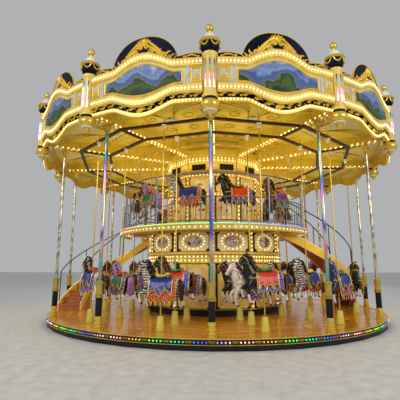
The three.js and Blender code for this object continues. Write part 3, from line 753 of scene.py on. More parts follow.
# Corner pillars: one in front of each joint between two boards, a fluted shaft with a capital and
# a turned drop below, and an urn with a white dome and a gilt ball on top.
PILLAR_RADIUS = 5.6
PILLAR_PLACE = (0, -PILLAR_RADIUS)
gilt = bmesh.new()
DROP = [(0, 4.3), (0.012, 4.305), (0.02, 4.335), (0.066, 4.4), (0.09, 4.44), (0.1, 4.46), (0.15, 4.475),
        (0.184, 4.52), (0.197, 4.575), (0.188, 4.625), (0.15, 4.67), (0, 4.68)]
COLLAR = [(0, 5.93), (0.19, 5.93), (0.218, 5.945), (0.232, 5.97), (0.218, 5.995), (0.14, 6.01), (0, 6.02)]
BALL = [(0, 6.2), (0.03, 6.205), (0.035, 6.225), (0.062, 6.245), (0.078, 6.275), (0.084, 6.31),
        (0.078, 6.345), (0.055, 6.38), (0.02, 6.395), (0.012, 6.42), (0, 6.43)]
turned_parts(gilt, PILLAR_PLACE, 24, DROP, COLLAR, BALL)
for middle in around(6):
    swag = []
    for share in spread(-1, 1, 8):
        a = middle + math.pi / 6 + 0.42 * share
        r = 0.205 + 0.012 * share ** 2
        swag.append(Vector((r * math.sin(a), -PILLAR_RADIUS - r * math.cos(a),
                            DECK + 5.93 - 0.1 * (1 - abs(share) ** 2.5))))
    wire(gilt, swag, 0.02, 1, ends=0.45)
copies_at(gilt, COLUMN_ANGLES)
fitted("pillar_gilding", gilt, "gold_trim", gold)
BASE = [(0, 4.72), (0.17, 4.72), (0.175, 4.745), (0.17, 4.77), (0.15, 4.8), (0.14, 4.86), (0, 4.86)]
CAP = [(0, 5.56), (0.14, 5.56), (0.144, 5.6), (0.158, 5.63), (0.168, 5.66), (0.168, 5.7), (0.14, 5.712),
       (0, 5.712)]
DOME = [(0, 6.005), (0.138, 6.005), (0.14, 6.05), (0.128, 6.1), (0.1, 6.15), (0.062, 6.185),
        (0.03, 6.205), (0, 6.21)]
RING = [(0, 4.44), (0.13, 4.436), (0.144, 4.452), (0.13, 4.468), (0, 4.466)]
SHAFT = rod(0.137, 4.85, 5.57)
shafts = bmesh.new()
turned_parts(shafts, PILLAR_PLACE, 24, BASE, CAP, SHAFT)
copies_at(shafts, COLUMN_ANGLES)
fitted("pillar_shafts", shafts, "board_yellow",
       paint("pillar_yellow", (0.86, 0.6, 0.1), 0.3, mottle=0.14, coat=0.2))
domes = bmesh.new()
turned_parts(domes, PILLAR_PLACE, 24, DOME, RING)
copies_at(domes, COLUMN_ANGLES)
fitted("pillar_domes", domes, "board_yellow",
       paint("white_enamel", (0.85, 0.84, 0.78), 0.25, mottle=0.05, coat=0.4))
flutes = bmesh.new()
for a in (-0.72, 0, 0.72):
    line = [Vector((0.13 * math.sin(a), -PILLAR_RADIUS - 0.13 * math.cos(a), DECK + z))
            for z in (4.88, 5.0, 5.4, 5.55)]
    wire(flutes, line, 0.024, 2, ends=0.5)
copies_at(flutes, COLUMN_ANGLES)
FLUTE_SHADES = [(0, (0.8, 0.78, 0.6)), (0.15, (0.9, 0.88, 0.85)), (0.3, (0.75, 0.2, 0.6)),
                (0.45, (0.85, 0.5, 0.7)), (0.58, (0.8, 0.35, 0.2)), (0.68, (0.3, 0.75, 0.5)),
                (0.78, (0.08, 0.5, 0.6)), (0.88, (0.03, 0.08, 0.6)), (1, (0.02, 0.04, 0.4))]
# The pillar flutes glow strongly in their own colours: a painted glow, not a lamp.
fitted("pillar_flutes", flutes, "board_yellow",
       mirror_tube("flute_film", DECK + 4.9, DECK + 5.54, FLUTE_SHADES, 0.0, 0.22))
BOWL = [(0, 5.705), (0.1, 5.708), (0.146, 5.73), (0.174, 5.77), (0.19, 5.83), (0.194, 5.88),
        (0.188, 5.93), (0.178, 5.945), (0, 5.95)]
NECK_RING = [(0, 4.67), (0.138, 4.67), (0.144, 4.7), (0.138, 4.725), (0, 4.725)]
bowls = bmesh.new()
turned_parts(bowls, PILLAR_PLACE, 24, BOWL, NECK_RING)
copies_at(bowls, COLUMN_ANGLES)
fitted("pillar_bowls", bowls, "board_yellow", navy_lacquer_with_painted_sheen)

# Canopy: twelve yellow box sweeps that carry the ceiling, with bulbs along both lower edges and
# two dark ring beams that guide the poles. The ceiling is painted sheet with brown line scrolls.
sweep_yellow = paint("sweep_yellow", (0.74, 0.55, 0.05), 0.3, mottle=0.1, coat=0.3)
refinish("canopy_frame", sweep_yellow)
refinish("guide_rings", paint("ring_brown", (0.05, 0.022, 0.006), 0.45, mottle=0.4, shine=0.3))
SWEEP_UNDER = 5.0
edge_bulbs = bmesh.new()
SWEEP_SIDE = 0.04
for k in range(24):
    radius = 1.8 + 0.15 * k
    for side in (1, -1):
        lamp(edge_bulbs, (side * (SWEEP_SIDE + 0.012), -radius + side * 0.02, SWEEP_UNDER + 0.012), 0.052,
             (side, 0, -1))
copies_at(edge_bulbs, COLUMN_ANGLES)
fitted("sweep_bulbs", edge_bulbs, "gold_trim", warm_bulb, sharp=180)
refinish("ceiling", paint("ceiling_paint", (0.66, 0.53, 0.045), 0.35, mottle=0.16, scale=2, coat=0.3))
ROOF_EDGE = 5.44
CEILING_EDGE, CEILING_PITCH = 5.143, 0.35 / 3.795


def under_ceiling(angle, radius):
    """A point on the underside of the ceiling, which slopes down from its eye to its edge."""
    return at(angle, radius, CEILING_EDGE + (ROOF_EDGE - radius) * CEILING_PITCH)


stencil = bmesh.new()
for side in (1, -1):
    for k in range(4):
        stations = ((13.9, 5.25 - 0.1 * k), (10.5 - k, 5.2 - 0.16 * k), (5.5 - k, 4.95 - 0.2 * k),
                    (3.2 - 0.6 * k, 4.55 - 0.2 * k))
        wire(stencil, [under_ceiling(side * a, r) for a, r in stations], 0.009, 0)
    for angle, radius, size in ((6.5, 4.15, 0.22), (10.5, 3.9, 0.16), (5.5, 3.15, 0.22), (9, 2.5, 0.16),
                                (4, 2.2, 0.12)):
        points = [under_ceiling(side * (angle + math.degrees(x / radius)), radius + y)
                  for x, y in unrolled(size, 1.25, 12, 0.15)]
        wire(stencil, points, 0.012, 0, ends=0.4)
for radius in (5.33, 3.75, 1.95):
    wire(stencil, [under_ceiling(a, radius) for a in (-14, -7, 0, 7, 14)], 0.01, 0)
copies_at(stencil, BAY_ANGLES)
fitted("ceiling_scrolls", stencil, "ceiling_yellow",
       paint("scroll_brown", (0.42, 0.17, 0.01), 0.35, mottle=0.2))

# Pole heads: plated cups screwed under the guide rings, each round the top of a moving pole, and a
# cast glass-white rosette of leaves between the two rings in every bay.
HEAD_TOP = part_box("guide_rings")[0][2] + 0.0005
HEAD_CUP = [(0.027, HEAD_TOP), (0.027, HEAD_TOP - 0.14), (0.034, HEAD_TOP - 0.14),
            (0.038, HEAD_TOP - 0.1), (0.052, HEAD_TOP - 0.05), (0.05, HEAD_TOP - 0.035),
            (0.068, HEAD_TOP - 0.012), (0.068, HEAD_TOP), (0.027, HEAD_TOP)]
cups = bmesh.new()
for row, bays in ((OUTER_ROW, OUTER_BAYS), (MIDDLE_ROW, INNER_BAYS)):
    for angle in bays:
        turned_shape(cups, HEAD_CUP, 16, at(angle, row, 0).xy)
fitted("pole_heads", cups, "ceiling_yellow",
       paint("white_plate", (0.78, 0.77, 0.72), 0.2, 0.5, mottle=0.1))
ROSETTE = 3.98
spray = bmesh.new()
for k, turn in enumerate(around(12)):
    reach = 0.17 if k % 2 else 0.12
    leaf_run = [under_ceiling(math.degrees(share * reach * math.sin(turn) / ROSETTE),
                              ROSETTE + share * reach * math.cos(turn))
                - Vector((0, 0, 0.012 + 0.1 * share * (1.25 - share))) for share in (0.1, 0.45, 0.8, 1)]
    wire(spray, leaf_run, 0.02, 1, ends=0.3)
ROSETTE_Z = under_ceiling(0, ROSETTE).z
turned_shape(spray, [(0, ROSETTE_Z), (0.06, ROSETTE_Z), (0.07, ROSETTE_Z - 0.02),
                     (0.045, ROSETTE_Z - 0.06), (0.03, ROSETTE_Z - 0.1), (0, ROSETTE_Z - 0.12)], 16,
             (0, -ROSETTE))
copies_at(spray, BAY_ANGLES)
fitted("ceiling_rosettes", spray, "ceiling_yellow",
       paint("rosette_white", (0.7, 0.69, 0.62), 0.15, 0.2, mottle=0.25, scale=20, coat=0.6))

# Roof: cream sheet cone standing on the ceiling's edge, with gilt cover ribs over its joints, and
# a turned crown that closes its eye.
sheet = bmesh.new()
ROOF_FOOT, ROOF_TOP, ROOF_EYE = 5.45, 7.15, 0.7
turned_shape(sheet, [(ROOF_EDGE - 0.04, 5.185), (ROOF_EDGE, 5.185), (ROOF_EDGE, ROOF_FOOT),
                     (ROOF_EYE, ROOF_TOP), (ROOF_EYE, ROOF_TOP - 0.04),
                     (ROOF_EDGE - 0.04, ROOF_FOOT - 0.04), (ROOF_EDGE - 0.04, 5.185)], 2 * BAYS)
roof_sheet = fitted("roof_sheet", sheet, "roof_cream",
                    paint("roof_cream_paint", (0.86, 0.7, 0.36), 0.4, mottle=0.1, scale=1.5), sharp=8)
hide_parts("roof")
ribs = bmesh.new()
PITCH = (ROOF_TOP - ROOF_FOOT) / (ROOF_EDGE - ROOF_EYE)
wire(ribs, [at(0, r, ROOF_FOOT + (ROOF_EDGE - r) * PITCH + 0.012) for r in (5.42, 3.9, 2.4, 0.78)], 0.035,
     2, smooth=False)
copies_at(ribs, COLUMN_ANGLES)
fitted("roof_ribs", ribs, "gold_trim", gold)
CROWN = [(0, 0.001), (0.75, 0.001), (0.76, 0.03), (0.74, 0.06), (0.75, 0.09), (0.6, 0.11), (0.52, 0.14),
         (0.5, 0.19), (0.54, 0.23), (0.56, 0.27), (0.52, 0.33), (0.4, 0.42), (0.2, 0.49), (0.11, 0.54),
         (0.075, 0.59), (0.08, 0.64), (0.12, 0.68), (0.145, 0.74), (0.12, 0.8), (0.05, 0.84), (0, 0.85)]
crown = bmesh.new()
turned_shape(crown, [(r, z + ROOF_TOP) for r, z in CROWN], 48)
fitted("crown", crown, "gold_trim", gold)

# Centre drums: twelve-sided walls of framed panels on black, with a column of bulbs up each joint.
# The lower one has a frieze of cream panels with bulb-ringed medallions over a gilt ledge. The upper
# one has two tiers of panels, and a cornice with a dark window to each bay.
FACE = math.cos(math.pi / BAYS)
LOWER_CORNER, UPPER_CORNER = 2.23, 1.6
LOWER_FACE, UPPER_FACE = LOWER_CORNER * FACE, UPPER_CORNER * FACE
CORNICE_FACE = UPPER_FACE + 0.128
drum_gold = paint("drum_gold", (0.7, 0.53, 0.1), 0.3, mottle=0.16, coat=0.3)
refinish("lower_drum", drum_gold)
refinish("upper_drum", drum_gold)


def slab(bm, x, y, z):
    """A plain board between two limits on each axis."""
    size = Vector((x[1] - x[0], y[1] - y[0], z[1] - z[0]))
    centre = Vector((sum(x) / 2, sum(y) / 2, sum(z) / 2))
    bmesh.ops.create_cube(bm, size=1, matrix=Matrix.Translation(centre) @ Matrix.Diagonal((*size, 1)))


def notched(half, low, high, notch):
    """Outline of an upright panel, in (x, z), whose corners are cut back in quarter rounds."""
    corners = ((half, low, 180), (half, high, 270), (-half, high, 360), (-half, low, 90))
    return [(x + notch * math.cos(math.radians(start - 22.5 * k)),
             z + notch * math.sin(math.radians(start - 22.5 * k)))
            for x, z, start in corners for k in range(5)]


def board(bm, outline, face, thick):
    """A flat board of a given outline that stands out from a drum's face."""
    front = bm.faces.new([bm.verts.new((x, -face, z)) for x, z in outline])
    made = bmesh.ops.extrude_face_region(bm, geom=[front])["geom"]
    bmesh.ops.translate(bm, verts=[v for v in made if isinstance(v, bmesh.types.BMVert)],
                        vec=(0, -thick, 0))
    bmesh.ops.recalc_face_normals(bm, faces=bm.faces)


def edging(bm, outline, face, thick):
    """A bar along an outline on a drum's face."""
    wire(bm, [Vector((x, -face, z)) for x, z in outline], thick, 1, cyclic=True, smooth=False)


def round_points(centre, half, tall, count):
    """An oval outline round a height on the middle line."""
    return [(half * math.cos(a), centre + tall * math.sin(a)) for a in around(count)]


FRIEZE = notched(0.445, DECK + 1.785, DECK + 2.335, 0.08)
MEDALLION = DECK + 2.06
OUTER_PANELS = [(LOWER_FACE, notched(0.44, DECK + 0.22, DECK + 1.42, 0.05)),
                (UPPER_FACE, notched(0.31, 2.9, 3.68, 0.035)),
                (UPPER_FACE, notched(0.31, 3.85, 4.33, 0.035))]
INNER_PANELS = [(LOWER_FACE, notched(0.26, DECK + 0.38, DECK + 1.26, 0.07)),
                (UPPER_FACE, notched(0.2, 3.0, 3.58, 0.045)),
                (UPPER_FACE, notched(0.2, 3.93, 4.25, 0.045))]
BACKING = 0.008

skirt = bmesh.new()
slab(skirt, (-0.575, 0.575), (-LOWER_FACE - 0.012, -LOWER_FACE + 0.02), (DECK + 0.002, DECK + 0.17))
slab(skirt, (-0.23, 0.23), (-CORNICE_FACE - 0.004, -CORNICE_FACE + 0.02), (4.515, 4.715))
for half, low, high, face in ((0.51, DECK + 0.19, DECK + 1.45, LOWER_FACE),
                              (0.51, DECK + 1.77, DECK + 2.35, LOWER_FACE),
                              (0.355, 2.86, 3.72, UPPER_FACE), (0.355, 3.81, 4.36, UPPER_FACE)):
    slab(skirt, (-half, half), (-face - BACKING, -face + 0.02), (low, high))
copies_at(skirt, BAY_ANGLES)
fitted("drum_skirting_and_windows", skirt, "cream_panel", black_steel)

gold_boards = bmesh.new()
for face, outline in OUTER_PANELS:
    board(gold_boards, outline, face + BACKING - 0.001, 0.01)
copies_at(gold_boards, BAY_ANGLES)
fitted("drum_outer_panels", gold_boards, "cream_panel",
       paint("panel_gold", (0.85, 0.66, 0.2), 0.3, mottle=0.2, scale=7, coat=0.4))
cream_boards = bmesh.new()
board(cream_boards, FRIEZE, LOWER_FACE + BACKING - 0.001, 0.014)
for face, outline in INNER_PANELS:
    board(cream_boards, outline, face + BACKING + 0.008, 0.008)
copies_at(cream_boards, BAY_ANGLES)
fitted("drum_inner_panels", cream_boards, "cream_panel",
       paint("panel_cream", (0.93, 0.85, 0.54), 0.28, mottle=0.14, scale=6, coat=0.4))


def medallion_glaze():
    """Glazed boss in drifting dark blue, grey and white."""
    material, tree, shader = opened(paint("medallion_glaze", (0.2, 0.25, 0.4), 0.15, coat=0.6))
    place = add_node(tree, "TexCoord").outputs["Object"]
    drift = add_node(tree, "TexNoise", {"Scale": 4.5, "Distortion": 1.6}, {"Vector": place})
    shades = [(0.3, (0.01, 0.015, 0.1)), (0.43, (0.1, 0.14, 0.4)), (0.5, (0.5, 0.5, 0.52)),
              (0.56, (0.8, 0.78, 0.74)), (0.64, (0.25, 0.12, 0.1)), (0.75, (0.03, 0.04, 0.15))]
    tree.links.new(shade_ramp(tree, drift.outputs["Fac"], shades), shader["Base Color"])
    return material


bosses = bmesh.new()
bmesh.ops.create_uvsphere(bosses, u_segments=28, v_segments=10, radius=1, matrix=(
    Matrix.Translation((0, -LOWER_FACE - 0.02, MEDALLION)) @ Matrix.Diagonal((0.235, 0.03, 0.135, 1))))
copies_at(bosses, BAY_ANGLES)
fitted("drum_medallions", bosses, "cream_panel", medallion_glaze(), sharp=180)

trim = bmesh.new()
edging(trim, FRIEZE, LOWER_FACE + 0.02, 0.014)
edging(trim, round_points(MEDALLION, 0.25, 0.15, 24), LOWER_FACE + 0.026, 0.016)
for face, outline in OUTER_PANELS:
    edging(trim, outline, face + 0.016, 0.016)
for face, outline in INNER_PANELS:
    edging(trim, outline, face + 0.022, 0.012)
edging(trim, notched(0.35, DECK + 0.29, DECK + 1.35, 0.06), LOWER_FACE + 0.016, 0.007)
edging(trim, notched(0.255, 2.945, 3.635, 0.04), UPPER_FACE + 0.016, 0.006)
edging(trim, [(-0.235, 4.51), (0.235, 4.51), (0.235, 4.72), (-0.235, 4.72)], CORNICE_FACE + 0.004, 0.014)
for z, face, half in ((DECK + 1.465, LOWER_FACE, 0.58), (DECK + 2.36, LOWER_FACE, 0.575),
                      (2.8, UPPER_FACE, 0.41), (3.71, UPPER_FACE, 0.41), (3.82, UPPER_FACE, 0.41),
                      (4.35, UPPER_FACE, 0.41), (4.45, UPPER_FACE, 0.41)):
    slab(trim, (-half, half), (-face - 0.03, -face + 0.02), (z - 0.014, z + 0.014))
slab(trim, (-0.6, 0.6), (-LOWER_FACE - 0.062, -LOWER_FACE + 0.02), (DECK + 1.7, DECK + 1.76))
for side in (1, -1):
    for z, face, across, size in ((DECK + 0.6, LOWER_FACE, 0.1, 0.07),
                                  (DECK + 1.04, LOWER_FACE, 0.1, 0.07), (3.14, UPPER_FACE, 0.08, 0.055),
                                  (3.44, UPPER_FACE, 0.08, 0.055), (4.09, UPPER_FACE, 0.1, 0.06)):
        points = [(side * (across - x), -face - 0.026, z + y) for x, y in unrolled(size, 1.2, 8, 0.2)]
        wire(trim, points, 0.012, 0, ends=0.5)
copies_at(trim, BAY_ANGLES)
fitted("drum_frames", trim, "cream_panel", gold_with_painted_glow)

flowers = bmesh.new()
for z, face, size in ((DECK + 0.82, LOWER_FACE, 0.075), (3.29, UPPER_FACE, 0.06),
                      (4.09, UPPER_FACE, 0.055)):
    for a in around(6):
        petal = [Vector((share * size * math.cos(a), -face - 0.028, z + share * size * math.sin(a)))
                 for share in (0.15, 0.6, 1)]
        wire(flowers, petal, size * 0.3, 1, ends=0.35)
copies_at(flowers, BAY_ANGLES)
fitted("drum_rosettes", flowers, "cream_panel",
       paint("rosette_red", (0.55, 0.07, 0.04), 0.25, mottle=0.3, scale=9, coat=0.4))

glow = bmesh.new()
for k in range(9):
    for z in (DECK + 1.52, DECK + 1.63):
        lamp(glow, (0.125 * (k - 4), -LOWER_FACE - 0.004, z), 0.05, (0, -1, 0))
for x, z in round_points(MEDALLION, 0.33, 0.215, 16):
    lamp(glow, (x, -LOWER_FACE - 0.022, z), 0.045, (0, -1, 0))
for k in range(7):
    for z, face in ((3.765, UPPER_FACE), (4.4, UPPER_FACE), (4.86, UPPER_FACE), (4.94, UPPER_FACE)):
        lamp(glow, (0.12 * (k - 3), -face - 0.004, z), 0.045, (0, -1, 0))
for radius, heights in ((LOWER_CORNER, spread(DECK + 0.26, DECK + 1.4, 10)
                         + spread(DECK + 1.82, DECK + 2.3, 4)),
                        (UPPER_CORNER, spread(2.9, 3.65, 6) + spread(3.88, 4.3, 3))):
    for z in heights:
        lamp(glow, at(BAY / 2, radius + 0.002, z), 0.05, at(BAY / 2, 1, 0))
copies_at(glow, BAY_ANGLES)
fitted("drum_bulbs", glow, "cream_panel", warm_bulb, sharp=180)

# Upper deck: a boarded ring carried on brackets, with a deep gilt fascia set with bulbs, a strip
# of coloured light round its top edge and bulbs under it. It stops where the stairs come up.
UPPER_DECK = 2.71
UPPER_EDGE = 3.15
STAIR_CENTRE = Vector((2.6, 0.9, 0))
STAIR_MIDDLE = 1.9
STAIR_HALF = 0.365


def meets(reach):
    """Angle at which a circle about the right stair's centre crosses the upper deck's edge."""
    away = STAIR_CENTRE.length
    apart = math.acos((UPPER_EDGE ** 2 + away ** 2 - reach ** 2) / (2 * UPPER_EDGE * away))
    return math.degrees(math.atan2(STAIR_CENTRE.x, -STAIR_CENTRE.y) - apart)


EDGE_FROM = meets(STAIR_MIDDLE - STAIR_HALF - 0.02) + 0.1
EDGE_TO = meets(STAIR_MIDDLE + STAIR_HALF + 0.02) + 179.9
edge_run = spread(EDGE_FROM, EDGE_TO, 48)
refinish("upper_deck", paint("upper_deck_boards", (0.62, 0.36, 0.08), 0.3, mottle=0.2, coat=0.2))
fascia = bmesh.new()
swept(fascia, [(3.13, 2.525), (3.153, 2.53), (3.156, 2.6), (3.153, 2.675), (3.13, 2.68)], edge_run)
for z in (2.54, 2.665):
    swept(fascia, bead(lambda angle, z=z: z, 3.156, 0.012), edge_run)
for k in range(34):
    curl(fascia, EDGE_FROM + 3 + k * (EDGE_TO - EDGE_FROM - 6) / 33, 3.158, 2.6, 0.026,
         1 if k % 2 else -1)
copies_at(fascia, [0, 180])
fitted("upper_deck_fascia", fascia, "deck_wood", drum_gold)
deck_bulbs = bmesh.new()
for k in range(60):
    angle = EDGE_FROM + (k + 0.5) * (EDGE_TO - EDGE_FROM) / 60
    lamp(deck_bulbs, at(angle, 3.157, 2.6), 0.042, at(angle, 1, 0))
    if k % 2:
        lamp(deck_bulbs, at(angle, 3.0, 2.599), 0.045, (0, 0, -1))
        lamp(deck_bulbs, at(angle, 2.9, 2.599), 0.045, (0, 0, -1))
copies_at(deck_bulbs, [0, 180])
fitted("upper_deck_bulbs", deck_bulbs, "deck_wood", warm_bulb, sharp=180)
strip = bmesh.new()
strip_tint = strip.verts.layers.float_color.new("lamp_colour")
band(strip, 3.135, 3.16, 2.686, 2.709, edge_run)
copies_at(strip, [0, 180])
for vert in strip.verts:
    turn = math.atan2(vert.co.x, -vert.co.y) / math.tau
    vert[strip_tint] = (*spectrum(2 * turn + 0.42, 0.25), 1)
fitted("upper_deck_light_strip", strip, "deck_wood", coloured_light("strip_light", 0.8))

# Upper railings: bright tubular posts and three rails, with plain pickets below hand height. They
# run round the deck's edge between the heads of the stairs.
RAIL_CIRCLE = 3.1
RAIL_FROM = 81.2 - 180
RAIL_TO = 62.0
bright_steel = paint("bright_steel", (0.3, 0.31, 0.36), 0.2, 0.9, mottle=0.1, bump=0.02)
for name, turn in (("front", 0), ("back", 180)):
    rails = bmesh.new()
    run = spread(RAIL_FROM, RAIL_TO, 40)
    for height, thick in ((4.045, 0.025), (3.415, 0.015), (2.778, 0.017)):
        swept(rails, [(RAIL_CIRCLE + thick * math.cos(a), height + thick * math.sin(a))
                      for a in around(8)], run)
    posts = [RAIL_FROM + 0.6, *[a for a in range(-90, 61, 30)], RAIL_TO - 0.6]
    for angle in posts:
        turned_shape(rails, [(0, 2.711), (0.045, 2.711), (0.045, 2.725), (0.026, 2.74), (0.026, 4.0),
                             (0.032, 4.03), (0.03, 4.06), (0, 4.068)], 12, at(angle, RAIL_CIRCLE, 0).xy)
    for angle in spread(RAIL_FROM + 2, RAIL_TO - 2, 62):
        if min(abs(angle - a) for a in posts) > 1:
            wire(rails, [at(angle, RAIL_CIRCLE, z) for z in (2.78, 3.1, 3.41)], 0.009, 0, smooth=False)
    turn_round(rails, rails.verts, turn)
    railing = fitted(f"upper_railing_{name}", rails, "rail_steel", bright_steel)
    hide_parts(f"railing_{name}")

# Stairs: two curved flights, alike under a half turn. Bent yellow stringers carry boarded treads
# over a dark red soffit; closed panels stand at the foot, and black handrails run on posts.
RISERS = 13
STAIR_HEAD, STAIR_FOOT = -13, 97
CUT_HEAD = STAIR_HEAD + 0.01
RISE = (UPPER_DECK - DECK) / RISERS
GOING = (STAIR_FOOT - STAIR_HEAD) / (RISERS - 1)
PANEL_FROM = 70
STRINGER = 0.045
INNER_SIDE, OUTER_SIDE = STAIR_MIDDLE - STAIR_HALF, STAIR_MIDDLE + STAIR_HALF
TREAD_IN, TREAD_OUT = INNER_SIDE + 0.04, OUTER_SIDE - 0.04
GRIP_HEAD, GRIP_FOOT = -9, 94.5
GRIP_HEIGHT = 0.95


def nosing(angle):
    """Height of the line through the front edges of the treads."""
    return DECK + RISE * (1 + (STAIR_FOOT - angle) / GOING)


def raised(rise):
    """The nosing line, lifted, but never below the deck."""
    return lambda angle: max(DECK + 0.001, nosing(angle) + rise)


STAIR_FINISHES = {
    "stringers": paint("stair_yellow_paint", (0.93, 0.6, 0.03), 0.25, mottle=0.08, coat=0.4),
    "foot_panels": paint("foot_panel_brown", (0.62, 0.26, 0.04), 0.3, mottle=0.15),
    "treads": paint("tread_boards", (0.4, 0.14, 0.04), 0.3, mottle=0.2),
    "soffit": paint("soffit_red", (0.22, 0.015, 0.012), 0.35, mottle=0.15),
    "handrails": black_steel,
    "nosing_strips": ivory,
}
for side, turn in (("right", 0), ("left", 180)):
    parts = {name: bmesh.new() for name in STAIR_FINISHES}
    for low in (INNER_SIDE, OUTER_SIDE - STRINGER):
        high = low + STRINGER
        middle = (low + high) / 2
        band(parts["stringers"], low, high, raised(-0.244), raised(0.02),
             spread(CUT_HEAD, STAIR_FOOT, 36))
        band(parts["foot_panels"], low + 0.002, high - 0.002, DECK + 0.001, raised(-0.03),
             spread(PANEL_FROM, STAIR_FOOT - 0.2, 12))
        swept(parts["nosing_strips"], bead(raised(0.02), middle, 0.026), spread(CUT_HEAD, STAIR_FOOT, 30))
        swept(parts["handrails"], bead(raised(GRIP_HEIGHT), middle, 0.018),
              spread(GRIP_HEAD, GRIP_FOOT, 36))
        for angle in (GRIP_FOOT, 60, 26, GRIP_HEAD):
            foot = nosing(angle)
            turned_shape(parts["handrails"], [(0, foot), (0.02, foot), (0.014, foot + 0.05),
                                              (0.014, foot + GRIP_HEIGHT), (0, foot + GRIP_HEIGHT)], 8,
                         at(angle, middle, 0).xy)
    for i in range(RISERS - 1):
        z = DECK + RISE * (i + 1)
        back, front = max(CUT_HEAD, STAIR_FOOT - GOING * (i + 1)), STAIR_FOOT - GOING * i
        band(parts["treads"], TREAD_IN, TREAD_OUT, z - 0.035, z, spread(back, front, 4))
        band(parts["treads"], TREAD_IN, TREAD_OUT, z - RISE, z - 0.03,
             spread(front - 1.2, front - 0.5, 1))
    band(parts["soffit"], TREAD_IN, TREAD_OUT, raised(-0.235), raised(-0.215),
         spread(CUT_HEAD, PANEL_FROM + 12, 30))
    for name, bm in parts.items():
        bmesh.ops.translate(bm, verts=bm.verts, vec=STAIR_CENTRE)
        turn_round(bm, bm.verts, turn)
        flight = fitted(f"stair_{side}_{name}", bm, "stair_yellow", STAIR_FINISHES[name])
        if name == "stringers":
            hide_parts(f"stair_{side}")

# Horses: moulded glass-fibre jumpers in gloss paint, each bolted to a twisted brass pole. They
# wear a seat, a scalloped blanket with a gilt hem, a chest strap and a bridle.
POLE = 0.0174
BODY = [(-0.43, 0.03, 0.03, 0.04), (-0.4, 0.035, 0.115, 0.125), (-0.31, 0.03, 0.165, 0.18),
        (-0.14, 0, 0.155, 0.168), (0.05, -0.01, 0.15, 0.168), (0.21, 0.01, 0.158, 0.185),
        (0.32, 0.05, 0.128, 0.165), (0.395, 0.07, 0.055, 0.085)]
NECK = [(0.2, 0.0, 0.125, 0.175), (0.285, 0.13, 0.108, 0.165), (0.345, 0.25, 0.086, 0.135),
        (0.385, 0.35, 0.07, 0.108), (0.41, 0.43, 0.058, 0.088), (0.425, 0.485, 0.042, 0.055)]
HEAD = [(0.385, 0.5, 0.032, 0.042), (0.425, 0.47, 0.06, 0.086), (0.475, 0.41, 0.063, 0.088),
        (0.53, 0.345, 0.045, 0.06), (0.575, 0.295, 0.039, 0.047), (0.605, 0.26, 0.038, 0.042),
        (0.618, 0.24, 0.022, 0.022)]
FRONT_LEG = [(0.25, -0.02, 0.065, 0.11), (0.335, -0.12, 0.05, 0.072), (0.42, -0.18, 0.036, 0.046),
             (0.44, -0.25, 0.028, 0.032), (0.425, -0.35, 0.022, 0.024), (0.395, -0.42, 0.027, 0.029)]
HIND_LEG = [(-0.3, 0.0, 0.08, 0.135), (-0.32, -0.14, 0.06, 0.086), (-0.385, -0.25, 0.036, 0.046),
            (-0.42, -0.32, 0.027, 0.033), (-0.43, -0.39, 0.022, 0.024), (-0.44, -0.43, 0.028, 0.029)]
SEAT = [(-0.19, 0.235, 0.03, 0.025), (-0.165, 0.25, 0.095, 0.04), (-0.1, 0.215, 0.108, 0.035),
        (0.02, 0.2, 0.1, 0.032), (0.09, 0.225, 0.065, 0.042), (0.125, 0.26, 0.032, 0.032)]
COAT, HAIR, BLANKET, LEATHER, GILT, SOCK, CAPE = range(7)


def eased(stations, between=2):
    """More stations along the same smooth run (Catmull-Rom)."""
    run = []
    rows = [Vector(row) for row in stations]
    for i in range(len(rows) - 1):
        a, b, c, d = rows[max(i - 1, 0)], rows[i], rows[i + 1], rows[min(i + 2, len(rows) - 1)]
        for k in range(between):
            t = k / between
            run.append(b + (c - a) * (t / 2) + (a - b * 2.5 + c * 2 - d / 2) * t ** 2
                       + ((d - a) / 2 + (b - c) * 1.5) * t ** 3)
    return run + [rows[-1]]


def tone_from(bm, first_face, tone):
    """Gives the faces made since then one of the horse's finishes."""
    bm.faces.ensure_lookup_table()
    for face in bm.faces[first_face:]:
        face.material_index = tone


def loft(bm, stations, tone, side=0.0, sides=12):
    """A closed form through oval sections of (x, z, half width, half depth), bridged in order."""
    first_face = len(bm.faces)
    rows = eased(stations)
    rings = []
    for i, (x, z, width, depth) in enumerate(rows):
        before, after = rows[max(i - 1, 0)], rows[min(i + 1, len(rows) - 1)]
        ahead = Vector((after[0] - before[0], 0, after[1] - before[1])).normalized()
        across = Vector((0, 1, 0))
        up = ahead.cross(across)
        frame_of = Matrix((across * width, up * depth, ahead)).transposed().to_4x4()
        ring = bmesh.ops.create_circle(bm, segments=sides, radius=1, cap_ends=i in (0, len(rows) - 1),
                                       matrix=Matrix.Translation((x, side, z)) @ frame_of)["verts"]
        rings.append(set(ring))
    for low, high in zip(rings, rings[1:]):
        loop = [e for v in low for e in v.link_edges if e.other_vert(v) in low]
        loop += [e for v in high for e in v.link_edges if e.other_vert(v) in high]
        bmesh.ops.bridge_loops(bm, edges=list(set(loop)))
    tone_from(bm, first_face, tone)


def bar(bm, points, radius, tone, **how):
    """A round bar in one of the horse's finishes."""
    first_face = len(bm.faces)
    wire(bm, points, radius, **how)
    tone_from(bm, first_face, tone)


def section_at(x):
    """Centre height, half width and half depth of the barrel at x."""
    rows = [row for row in BODY if row[0] <= x] or [BODY[0]]
    low = rows[-1]
    high = BODY[min(len(rows), len(BODY) - 1)]
    share = (x - low[0]) / max(1e-6, high[0] - low[0])
    return [low[i] + (high[i] - low[i]) * min(1, max(0, share)) for i in (1, 2, 3)]


LAID = 0.56


